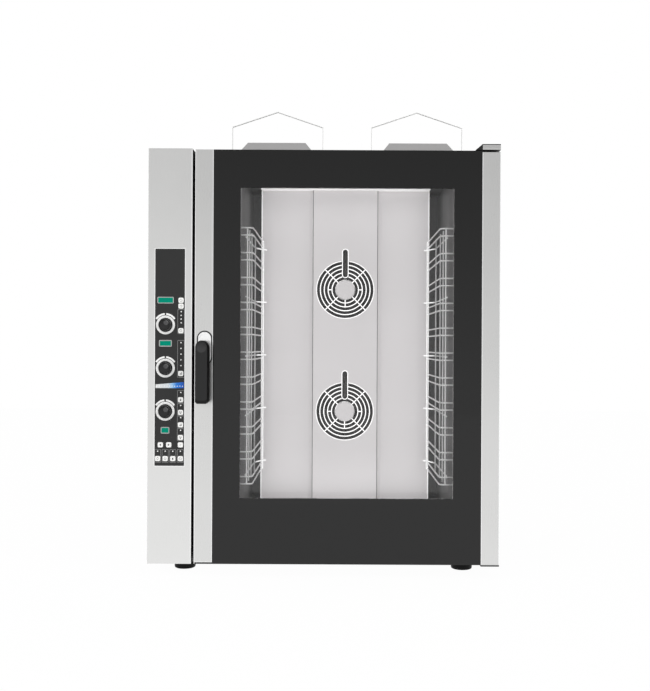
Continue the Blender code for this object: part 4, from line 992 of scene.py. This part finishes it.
    def knob(self, name: str, z: float) -> None:
        """Builds one knob: a turned skirt and crown with a finger dimple near its edge, lined in grey as a
        painted highlight.

        Args:
            name: What the knob sets.
            z: Height of its centre.
        """
        body = f"knob_{name}"
        low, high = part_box(body)
        foot = FRONT_Y - 1.2 * MM
        tall = foot - low[1]
        r = (high[0] - low[0]) / 2
        skirt = [(0.0, 0.0), (r - 0.6 * MM, 0.0), (r, 0.6 * MM), (r, 3.2 * MM), (r - 0.8 * MM, 4.2 * MM)]
        crown = [(r - 1.6 * MM, tall - 2.2 * MM), (r - 2.4 * MM, tall - 0.8 * MM)]
        crown += [(r - 3.8 * MM, tall), (0.0, tall)]
        bm = bmesh.new()
        lathe(bm, facing(self.dial_x, foot, z), skirt + crown, 56)
        knob = make_piece(f"{body}_moulding", bm, LEVER_PLASTIC, body, (body,))
        dimple_x, dimple_z = self.dial_x + self.dimple_x, z + self.dimple_z
        ball = bmesh.new()
        bmesh.ops.create_uvsphere(ball, u_segments=32, v_segments=20, radius=self.dimple_ball)
        bmesh.ops.translate(ball, verts=ball.verts, vec=(dimple_x, low[1] - self.dimple_stand, dimple_z))
        self.carve(knob, ball)
        # The lining's grey is a painted highlight in the dimple.
        bowl = bmesh.new()
        lathe(bowl, facing(dimple_x, low[1], dimple_z), self.lining(), 32)
        make_piece(f"{body}_dimple", bowl, DIMPLE_HIGHLIGHT_PLASTIC, body)
        rim = bmesh.new()
        band(rim, self.dial_x, z, r - 4.9 * MM, r - 4.3 * MM, 0, 360, low[1] + 0.05 * MM, 0.05 * MM)
        make_piece(f"{body}_line", rim, GREY_INK, body)

    def lining(self) -> list[tuple[float, float]]:
        """Gives the section of a dimple's lining, out along its face and home along its back.

        Returns:
            Radius and height of each corner.
        """
        turns = [math.radians(self.dimple_degrees * n / 8) for n in range(9)]
        face, back = self.dimple_ball - 0.2 * MM, self.dimple_ball - 0.05 * MM
        section = []
        for radius, way in ((face, turns), (back, turns[::-1])):
            section += [(radius * math.sin(t), self.dimple_stand - radius * math.cos(t)) for t in way]
        return section

    def carve(self, piece: bpy.types.Object, tool: BMesh) -> None:
        """Cuts a shape out of a piece for good.

        Args:
            piece: The piece that is cut.
            tool: The shape of the cut, which is freed.
        """
        mesh = bpy.data.meshes.new("cutter")
        tool.to_mesh(mesh)
        tool.free()
        cutter = bpy.data.objects.new("cutter", mesh)
        bpy.context.scene.collection.objects.link(cutter)
        cut = piece.modifiers.new("cut", "BOOLEAN")
        cut.object = cutter
        cut.solver = "EXACT"
        bpy.context.view_layer.update()
        carved = bpy.data.meshes.new_from_object(piece.evaluated_get(bpy.context.evaluated_depsgraph_get()))
        piece.modifiers.clear()
        carved.shade_smooth()
        carved.set_sharp_from_angle(angle=math.radians(30))
        piece.data = carved
        bpy.data.objects.remove(cutter)
        bpy.data.meshes.remove(mesh)

    def keys(self) -> None:
        """Dresses the fifteen key caps and prints a plain sign on each."""
        signs = {
            "hours": Mark.CLOCK,
            "minutes": Mark.CLOCK,
            "timer": Mark.CLOCK,
            "temperature": Mark.BARS,
            "steam": Mark.DROP,
            "fan_speed": Mark.FAN,
            "preheat": Mark.BARS,
            "cool_down": Mark.FAN,
            "confirm": Mark.TICK,
            "next": Mark.RIGHT,
            "previous": Mark.LEFT,
            "light": Mark.LAMP,
            "vent": Mark.RING,
            "rinse": Mark.DROP,
            "start": Mark.RING,
        }
        for name, sign in signs.items():
            node = f"key_{name}"
            dress((node,), KEY_PLASTIC, 0.6)
            low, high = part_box(node)
            bm = bmesh.new()
            self.sign(bm, sign, (low[0] + high[0]) / 2, (low[2] + high[2]) / 2, low[1] + 0.02 * MM)
            make_piece(f"{node}_sign", bm, MARK_INK, node)

    def sign(self, bm: BMesh, mark: Mark, x: float, z: float, back: float) -> None:
        """Draws one plain sign.

        Args:
            bm: The mesh being built.
            mark: Which sign.
            x: Centre across the oven.
            z: Centre height.
            back: Y of the key's face.
        """
        thin = 0.08 * MM
        if mark is Mark.CLOCK:
            band(bm, x, z, 2.9 * MM, 3.6 * MM, 0, 360, back, thin)
            tile(bm, (x - 0.3 * MM, z - 0.3 * MM), (x + 0.3 * MM, z + 2.2 * MM), 0, back, thin)
            tile(bm, (x + 0.35 * MM, z - 0.3 * MM), (x + 1.7 * MM, z + 0.3 * MM), 0, back, thin)
        elif mark is Mark.DROP:
            disc(bm, x, z - 1.0 * MM, 2.1 * MM, back, thin, 20)
            tip = ((-1.95, -0.2), (1.95, -0.2), (0, 3.4))
            patch(bm, [(x + dx * MM, z + dz * MM) for dx, dz in tip], back, thin)
        elif mark is Mark.FAN:
            for start in (0, 120, 240):
                band(bm, x, z, 0.9 * MM, 3.4 * MM, start, 62, back, thin)
        elif mark is Mark.BARS:
            for dx, tall in ((-2.2, 2.4), (0.0, 4.2), (2.2, 6.0)):
                ends = (x + (dx - 0.7) * MM, z - 3 * MM), (x + (dx + 0.7) * MM, z + (tall - 3) * MM)
                tile(bm, *ends, 0, back, thin)
        elif mark in (Mark.LEFT, Mark.RIGHT):
            way = 1 if mark is Mark.RIGHT else -1
            arrow = ((-2.2, -3), (2.8, 0), (-2.2, 3))
            patch(bm, [(x + way * dx * MM, z + dz * MM) for dx, dz in arrow], back, thin)
        elif mark is Mark.LAMP:
            band(bm, x, z + 0.6 * MM, 2.0 * MM, 2.7 * MM, -50, 280, back, thin)
            tile(bm, (x - 1.2 * MM, z - 3.2 * MM), (x + 1.2 * MM, z - 1.9 * MM), 0, back, thin)
        elif mark is Mark.RING:
            band(bm, x, z, 2.5 * MM, 3.3 * MM, 120, 300, back, thin)
            tile(bm, (x - 0.4 * MM, z + 0.6 * MM), (x + 0.4 * MM, z + 3.6 * MM), 0, back, thin)
        else:
            for lean, (dx, dz), size in ((-0.785, (-1.6, -0.7), 1.9), (0.785, (1.0, 0.4), 3.6)):
                place = facing(x + dx * MM, back, z + dz * MM) @ Matrix.Rotation(lean, 4, "Z")
                bar(bm, place, size * MM, 0.8 * MM, thin)


@dataclass
class Cavity:
    """Cooking cavity: liner, baffle with its grilles, racks, fans and water parts."""

    centre_x: float = 60.9 * MM
    half_width: float = 298.2 * MM
    rack_front: float = -315 * MM
    rack_depth: float = 325 * MM
    first_rail: float = 235.1 * MM
    pitch: float = 68.5 * MM
    gap: float = 20 * MM
    levels: int = 11
    rail: float = 258 * MM
    post: float = 273.4 * MM
    wire: float = 2.2 * MM
    grilles: tuple[float, float] = (411.7 * MM, 791.3 * MM)
    grille_radius: float = 88.2 * MM
    slot_half: float = 7.85 * MM
    slot_top: float = 125.5 * MM
    sheet: float = 1.2 * MM
    baffle_face: float = 23 * MM
    baffle_side: float = 35 * MM
    baffle_half: float = 262.7 * MM
    baffle_low: float = 130.5 * MM
    baffle_high: float = 1102.5 * MM
    centre_half: float = 99.5 * MM
    fold_run: float = 15 * MM
    hub_radius: float = 30.8 * MM
    slot_foot: float = 39 * MM
    slot_rim: float = 2.4 * MM
    spoke_width: float = 3.0 * MM
    post_end: float = 1 * MM

    def build(self) -> None:
        """Dresses the liner and its fittings and builds racks, baffle, grilles and rims."""
        dress(("cavity_liner",), LINER_STEEL)
        dress(("fan_lower", "fan_upper"), FAN_SHADE_STEEL, 0.3)
        dress(("fan_motor_lower", "fan_motor_upper"), CAST_ALLOY, 0.8)
        dress(("heater_lower", "heater_upper", "water_manifold"), SHEATH)
        dress(("drain_outlet",), ZINC_STEEL, 0.4)
        dress(("door_gasket",), BLACK_RUBBER_AND_SHADE, 1.0)
        for side, name in ((-1, "left"), (1, "right")):
            self.rack(side, name)
        self.baffle()
        self.rims()

    def baffle(self) -> None:
        """Builds the folded baffle sheet and the rings of its two slotted grilles."""
        bm = bmesh.new()
        for way in (-1, 1):
            run = self.centre_half + self.fold_run
            plan = [(self.baffle_half, self.baffle_side + 12 * MM), (self.baffle_half, self.baffle_side)]
            for n in range(7):
                t = n / 6
                drop = (self.baffle_side - self.baffle_face) * t * t
                plan.append((run - self.fold_run * t, self.baffle_side - drop))
            foot = [bm.verts.new((self.centre_x + way * x, y, self.baffle_low)) for x, y in plan]
            line = [bm.edges.new(pair) for pair in zip(foot, foot[1:])]
            raised = bmesh.ops.extrude_edge_only(bm, edges=line)["geom"]
            up = (0, 0, self.baffle_high - self.baffle_low)
            bmesh.ops.translate(bm, verts=[v for v in raised if isinstance(v, BMVert)], vec=up)
        half, low, high = self.centre_half, self.baffle_low, self.baffle_high
        loops = [[(-half, low), (half, low), (half, high), (-half, high)]]
        loops += [self.grille_hole(z) for z in self.grilles]
        edges = []
        for loop in loops:
            ring = [bm.verts.new((self.centre_x + x, self.baffle_face, z)) for x, z in loop]
            edges += [bm.edges.new(pair) for pair in zip(ring, [*ring[1:], ring[0]])]
        bmesh.ops.triangle_fill(bm, use_beauty=True, edges=edges, normal=(0, -1, 0))
        bmesh.ops.remove_doubles(bm, verts=bm.verts, dist=1e-6)
        bmesh.ops.recalc_face_normals(bm, faces=bm.faces)
        bmesh.ops.solidify(bm, geom=bm.faces[:], thickness=self.sheet)
        for z in self.grilles:
            disc(bm, self.centre_x, z, self.hub_radius, self.baffle_face + self.sheet, self.sheet, 48)
        node = "fan_baffle"
        make_piece(f"{node}_sheet", bm, BAFFLE_STEEL, "oven_body", (node,), 35.0)
        # The rings' near white is a painted highlight on the baffle's steel.
        bm = bmesh.new()
        for z in self.grilles:
            self.grille(bm, z)
        make_piece("fan_grille_rings", bm, GRILLE_HIGHLIGHT_STEEL, "oven_body")

    def grille_hole(self, z: float) -> list[tuple[float, float]]:
        """Gives the outline of one grille's opening with the tube slot above it.

        Args:
            z: Height of the grille's centre.

        Returns:
            X from the centre line and Z of each corner.
        """
        r, w = self.grille_radius, self.slot_half
        gape = math.asin(w / r)
        turn = math.tau - 2 * gape
        angles = [math.pi / 2 + gape + turn * n / 72 for n in range(73)]
        outline = [(r * math.cos(a), z + r * math.sin(a)) for a in angles]
        top = z + self.slot_top - w
        turns = [math.pi * n / 10 for n in range(11)]
        return outline + [(w * math.cos(a), top + w * math.sin(a)) for a in turns]

    def grille(self, bm: BMesh, z: float) -> None:
        """Fills one opening with rings, spokes and the rim of the tube slot.

        Args:
            bm: The grilles' mesh.
            z: Height of the grille's centre.
        """
        x, back, w = self.centre_x, self.baffle_face + self.sheet, self.slot_half
        # Inner and outer radius in millimetres; the slot breaks every ring outside the hub.
        for inner, outer in ((76.1, 79.1), (64.0, 67.0), (51.9, 54.9), (39.8, 42.8), (29.4, 31.2)):
            broken = inner * MM > self.hub_radius
            gape = math.degrees(math.asin((w + 1.5 * MM) / (inner * MM))) if broken else 0
            band(bm, x, z, inner * MM, outer * MM, 90 + gape, 360 - 2 * gape, back, self.sheet)
        # Angle in degrees, then inner and outer end in millimetres.
        spokes = [(angle, 30.5, 88.0) for angle in (45, 135, 225, 315)]
        spokes += [(0, 43.0, 51.6), (180, 43.0, 51.6), (270, 31.0, 39.5), (270, 43.0, 51.6)]
        for angle, inner, outer in spokes:
            turn = Matrix.Rotation(math.radians(angle), 4, "Z")
            middle = Matrix.Translation(((inner + outer) / 2 * MM, 0, 0))
            place = facing(x, back, z) @ (turn @ middle)
            bar(bm, place, (outer - inner) * MM, self.spoke_width, self.sheet - 0.15 * MM)
        edge = self.slot_rim
        rim = w + edge
        foot, top = z + self.slot_foot - edge, z + self.slot_top + edge
        tile(bm, (x - rim, foot), (x + rim, top), rim - 0.01 * MM, back, self.sheet + 0.3 * MM, edge)

    def rack(self, side: int, name: str) -> None:
        """Builds one tray rack of bent round wire.

        Args:
            side: Minus one for the left rack, one for the right.
            name: Which side it is on.
        """
        front, back = self.rack_front, self.rack_front + self.rack_depth
        last = self.first_rail + (self.levels - 1) * self.pitch + self.gap
        low, high = self.first_rail - self.post_end, last + self.post_end

        def at(offset: float, y: float, z: float) -> Vector:
            """Gives a point by its distance from the cavity's centre line."""
            return Vector((self.centre_x + side * offset, y, z))

        runs = [[at(self.post, front + step * MM, z) for z in (low, high)] for step in (3, 63, 133, 246)]
        runs.append([at(self.rail - 3 * MM, back, z) for z in (low, high)])
        wall = self.half_width - 0.6 * MM
        for level in range(self.levels):
            for extra in (0.0, self.gap):
                z = self.first_rail + level * self.pitch + extra
                corners = [at(wall, front, z), at(self.rail, front, z), at(self.rail, back + self.wire, z)]
                runs.append(rounded(corners, 14 * MM))
        tie = self.post + 3 * MM
        for n in range(5):
            z = self.first_rail + 24.5 * MM + (last - self.first_rail - 50.5 * MM) * n / 4
            corners = [at(tie, front - 1 * MM, z), at(tie, back - 50 * MM, z)]
            corners += [at(self.rail - 2.5 * MM, back - 3 * MM, z), at(self.rail - 12 * MM, back + 7 * MM, z)]
            runs.append(rounded(corners, 12 * MM))
        node = f"tray_rack_{name}"
        mesh = wire_mesh(f"{node}_wires", runs, self.wire)
        place_mesh(f"{node}_wires", mesh, WIRE_STEEL, "oven_body", (node,), 40.0)

    def rims(self) -> None:
        """Builds each grille's rolled rim, bright strips on the baffle's side edges and its top flange, all
        in a painted highlight, and two dark lines of painted shade along its centre folds.
        """
        bm = bmesh.new()
        face, x, half = self.baffle_face, self.centre_x, self.baffle_half
        for z in self.grilles:
            band(bm, x, z, 88.3 * MM, 90.6 * MM, 98, 344, face - 0.05 * MM, 0.6 * MM)
        for left in (x - half, x + half - 2.6 * MM):
            ends = (left, self.baffle_low), (left + 2.6 * MM, self.baffle_high)
            tile(bm, *ends, 0, self.baffle_side - self.sheet, 0.6 * MM)
        place = Matrix.Translation((x, self.baffle_side - 20 * MM, self.baffle_high - 0.6 * MM))
        flange = Matrix.Diagonal((2 * half, 40 * MM, 1 * MM, 1.0))
        bmesh.ops.create_cube(bm, size=1.0, matrix=place @ flange)
        make_piece("grille_rims_and_edge_highlights", bm, GRILLE_HIGHLIGHT_STEEL, "oven_body")
        # Two dark lines paint the shade along the baffle's centre folds.
        bm = bmesh.new()
        for left in (x - self.centre_half - 2.2 * MM, x + self.centre_half + 0.2 * MM):
            ends = (left, self.baffle_low), (left + 2.0 * MM, self.baffle_high - 2 * MM)
            tile(bm, *ends, 0, face + 1.6 * MM, 1.0 * MM)
        make_piece("baffle_fold_shade_lines", bm, LIP_AND_FOLD_SHADE_STEEL, "oven_body")


@dataclass
class Door:
    """Glass door between two steel profiles, with its printed border, pane and hinge cap."""

    window_low: tuple[float, float] = (-221.4 * MM, 211 * MM)
    window_high: tuple[float, float] = (344.1 * MM, 1034.7 * MM)
    # Height of the dark strip painted across the foot of the handle's profile.
    sweep: float = 4.6 * MM
    edge_width: float = 1.6 * MM
    edge_corner: float = 0.4 * MM
    cap_left: float = 419.5 * MM
    cap_right: float = 467.3 * MM

    def build(self) -> None:
        """Dresses the profiles and builds the glass, the hinge cap and the strips of painted highlight on the
        profiles' edges.
        """
        dress(("door_handle_profile", "door_hinge_profile"), SATIN_STEEL, 0.8)
        dress(("door_frame",), BLACK_STEEL)
        dress(("door_inner_glass",), DOOR_GLASS)
        dress(("top_hinge_bracket",), BLACK_COAT, 0.5)
        self.glass()
        self.hinge_cap()
        self.profile_edge_highlights()

    def profile_edge_highlights(self) -> None:
        """Builds the strips of painted highlight along the edges of the two door profiles, and the dark strip
        across the foot of the handle's one.
        """
        bm = bmesh.new()
        wide, corner = self.edge_width, self.edge_corner
        for node, foot in (("door_handle_profile", self.sweep), ("door_hinge_profile", 1 * MM)):
            low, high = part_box(node)
            for left in (low[0] + 0.1 * MM, high[0] - 0.1 * MM - wide):
                tile(bm, (left, low[2] + foot), (left + wide, high[2] - 1 * MM), corner, FRONT_Y, STRIP_DEPTH)
        low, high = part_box("door_handle_profile")
        left, top = low[0] + 2 * MM, low[2] + self.sweep
        tile(bm, (left, top), (high[0] - 2 * MM, top + wide), corner, FRONT_Y, STRIP_DEPTH)
        make_piece("profile_edge_highlights", bm, CHROME_AND_EDGE_HIGHLIGHT, "door")
        bm = bmesh.new()
        # A dark strip painted across the foot of the handle's profile.
        tile(bm, (left, low[2] + 0.2 * MM), (high[0], top), 0, FRONT_Y, STRIP_DEPTH)
        make_piece("door_foot_dark_strip", bm, BLACK_RUBBER_AND_SHADE, "door")

    def glass(self) -> None:
        """Builds the printed border of the outer glass and the clear pane inside it."""
        low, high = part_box("door_outer_glass")
        deep = high[1] - low[1]
        bm = bmesh.new()
        tile(bm, (low[0], low[2]), (high[0], high[2]), 0, high[1], deep)
        self.cut_window(bm)
        make_piece("door_glass_border", bm, GLASS_PRINT, "door", ("door_outer_glass",))
        pane = bmesh.new()
        tile(pane, self.window_low, self.window_high, 0, high[1], deep)
        make_piece("door_glass_pane", pane, DOOR_GLASS, "door")

    def cut_window(self, bm: BMesh) -> None:
        """Opens the window in the border's slab.

        Args:
            bm: The border's full slab.
        """
        for axis, along in enumerate((Vector((1, 0, 0)), Vector((0, 0, 1)))):
            for place in (self.window_low, self.window_high):
                where = along * place[axis]
                geometry = [*bm.verts, *bm.edges, *bm.faces]
                bmesh.ops.bisect_plane(bm, geom=geometry, plane_co=where, plane_no=along, dist=1e-6)
        inside = []
        for face in bm.faces:
            x, _, z = face.calc_center_median()
            across = self.window_low[0] < x < self.window_high[0]
            if abs(face.normal.y) > 0.9 and across and self.window_low[1] < z < self.window_high[1]:
                inside.append(face)
        rims = [list(face.edges) for face in inside]
        bmesh.ops.delete(bm, geom=inside, context="FACES_ONLY")
        bmesh.ops.bridge_loops(bm, edges=[edge for rim in rims for edge in rim])

    def hinge_cap(self) -> None:
        """Builds the two steel plates on the top hinge, with the crease between them."""
        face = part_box("top_hinge_bracket")[0][1]
        bm = bmesh.new()
        for low, high in ((1138 * MM, 1145 * MM), (1145.5 * MM, 1150.4 * MM)):
            tile(bm, (self.cap_left, low), (self.cap_right, high), 0.6 * MM, face, 0.9 * MM)
        make_piece("hinge_cap_plates", bm, SATIN_STEEL, "oven_body")


@dataclass
class Handle:
    """Lever handle: black moulding, its cap and the steel escutcheon."""

    centre_x: float = -315.9 * MM
    spindle_z: float = 609 * MM
    half_width: float = 16.85 * MM
    rise: float = 19.6 * MM
    foot_z: float = 464 * MM
    chamfer: float = 5 * MM
    face_y: float = -464.4 * MM
    back_y: float = -428 * MM
    cam_y: float = -337.7 * MM
    shaft_radius: float = 7 * MM
    hub_radius: float = 12.5 * MM
    cap_radius: float = 12 * MM
    shadow_ring_edge: float = 3.5 * MM

    def build(self) -> None:
        """Dresses the latch and builds the lever, its cap and the dark ring of painted shade round the
        escutcheon.
        """
        dress(("latch_cam",), ZINC_STEEL, 0.5)
        dress(("handle_escutcheon",), CHROME_AND_EDGE_HIGHLIGHT, 0.6)
        self.lever()
        bm = bmesh.new()
        r, x, z = self.cap_radius, self.centre_x, self.spindle_z
        profile = [(0.0, 0.0), (r, 0.0), (r, 0.3 * MM), (r - 0.8 * MM, 0.6 * MM), (0.0, 0.6 * MM)]
        lathe(bm, facing(x, self.face_y, z), profile, 40)
        make_piece("handle_cap", bm, CAP_PLASTIC, "handle")
        bm = bmesh.new()
        band(bm, x, z, r + 0.4 * MM, r + 1.6 * MM, 0, 360, self.face_y - 0.25 * MM, 0.15 * MM)
        make_piece("handle_cap_groove", bm, BLACK_RUBBER_AND_SHADE, "handle")
        # The dark ring round the escutcheon is painted shade.
        self.gasket()

    def outline(self, margin: float, foot: float) -> list[tuple[float, float]]:
        """Gives the lever's outline, drawn in from its edge.

        Args:
            margin: How far the sides and the top are drawn in.
            foot: How far the bottom is drawn in.

        Returns:
            X and Z of each corner, round the lever.
        """
        half, low, cut = self.half_width - margin, self.foot_z + foot, self.chamfer
        angles = [math.pi * n / 24 for n in range(25)]
        top = [(half * math.cos(a), self.spindle_z + (self.rise - margin) * math.sin(a)) for a in angles]
        corners = [*top, (-half, low + cut), (cut - half, low), (half - cut, low), (half, low + cut)]
        return [(self.centre_x + x, z) for x, z in corners]

    def lever(self) -> None:
        """Builds the lever's moulding on its hub and spindle, painted darker as shade on its sides and
        chamfers, and the paler face on its front.
        """
        bm = bmesh.new()
        back, face = self.back_y, self.face_y
        # Depth of each ring, then how far its sides and its foot are drawn in, in millimetres.
        steps = ((back, 0.8, 0.8), (back - 0.8 * MM, 0.0, 0.0), (face + 3.4 * MM, 0.0, 0.0), (face, 1.6, 8.0))
        rings = []
        for y, side, foot in steps:
            rings.append([bm.verts.new((x, y, z)) for x, z in self.outline(side * MM, foot * MM)])
        for first, second in zip(rings, rings[1:]):
            for n in range(len(first)):
                bm.faces.new((first[n - 1], first[n], second[n], second[n - 1]))
        bm.faces.new(rings[0])
        bm.faces.new(rings[-1])
        reach, stop = self.cam_y - back, self.cam_y - FRONT_Y + 3.5 * MM
        shaft, hub = self.shaft_radius, self.hub_radius
        profile = [(0.0, 0.0), (shaft, 0.0), (shaft, stop), (hub, stop), (hub, reach), (0.0, reach)]
        lathe(bm, facing(self.centre_x, self.cam_y, self.spindle_z), profile, 40)
        # The moulding's deeper black is painted shade on the lever's sides and chamfers.
        make_piece("handle_lever_moulding", bm, LEVER_SHADED_SIDE, "handle", ("handle_lever",))
        bm = bmesh.new()
        outline = self.outline(2.0 * MM, 8.6 * MM)
        front = bm.faces.new([bm.verts.new((x, face + 0.1 * MM, z)) for x, z in outline])
        thicken(bm, [front], 0.35 * MM)
        make_piece("handle_lever_face", bm, LEVER_PLASTIC, "handle")

    def gasket(self) -> None:
        """Builds the dark ring round the escutcheon, a painted shadow gap."""
        low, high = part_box("handle_escutcheon")
        bm = bmesh.new()
        edge = self.shadow_ring_edge
        ends = (low[0] - edge, low[2] - edge), (high[0] + edge, high[2] + edge)
        corner = (high[0] - low[0]) / 2 + edge - 0.01 * MM
        tile(bm, *ends, corner, FRONT_Y - 0.04 * MM, 0.22 * MM)
        make_piece("escutcheon_shadow_ring", bm, BLACK_RUBBER_AND_SHADE, "door")


@dataclass
class Vents:
    """Two roof chimneys with rolled lips, each under a bent strap."""

    lip: float = 1.8 * MM
    top_width: float = 181.2 * MM
    top_depth: float = 95.2 * MM

    def build(self) -> None:
        """Dresses the chimneys and the straps and builds the lips."""
        dress(("vent_left", "vent_right"), VENT_STEEL, 0.4)
        dress(("vent_guard_left", "vent_guard_right"), STRAP_STEEL, 0.4)
        for node in ("vent_left", "vent_right"):
            low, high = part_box(node)
            middle = (Vector(low) + Vector(high)) / 2
            wide, deep, top = self.top_width / 2 - self.lip, self.top_depth / 2 - self.lip, high[2] - self.lip
            corners = [(-wide, -deep), (wide, -deep), (wide, deep), (-wide, deep), (-wide, -deep)]
            run = [Vector((middle.x + x, middle.y + y, top)) for x, y in corners]
            mesh = wire_mesh(f"{node}_lip", [run], self.lip)
            place_mesh(f"{node}_lip", mesh, LIP_AND_FOLD_SHADE_STEEL, "oven_body", (), 40.0)


def main() -> None:
    """Builds the oven's looks, one sub-assembly at a time."""
    logging.basicConfig(level=logging.INFO, format="%(name)s %(message)s")
    for part in (Studio(), Casing(), ControlColumn(), Cavity(), Door(), Handle(), Vents()):
        LOG.info("building %s", type(part).__name__)
        part.build()


if __name__ == "__main__":
    main()
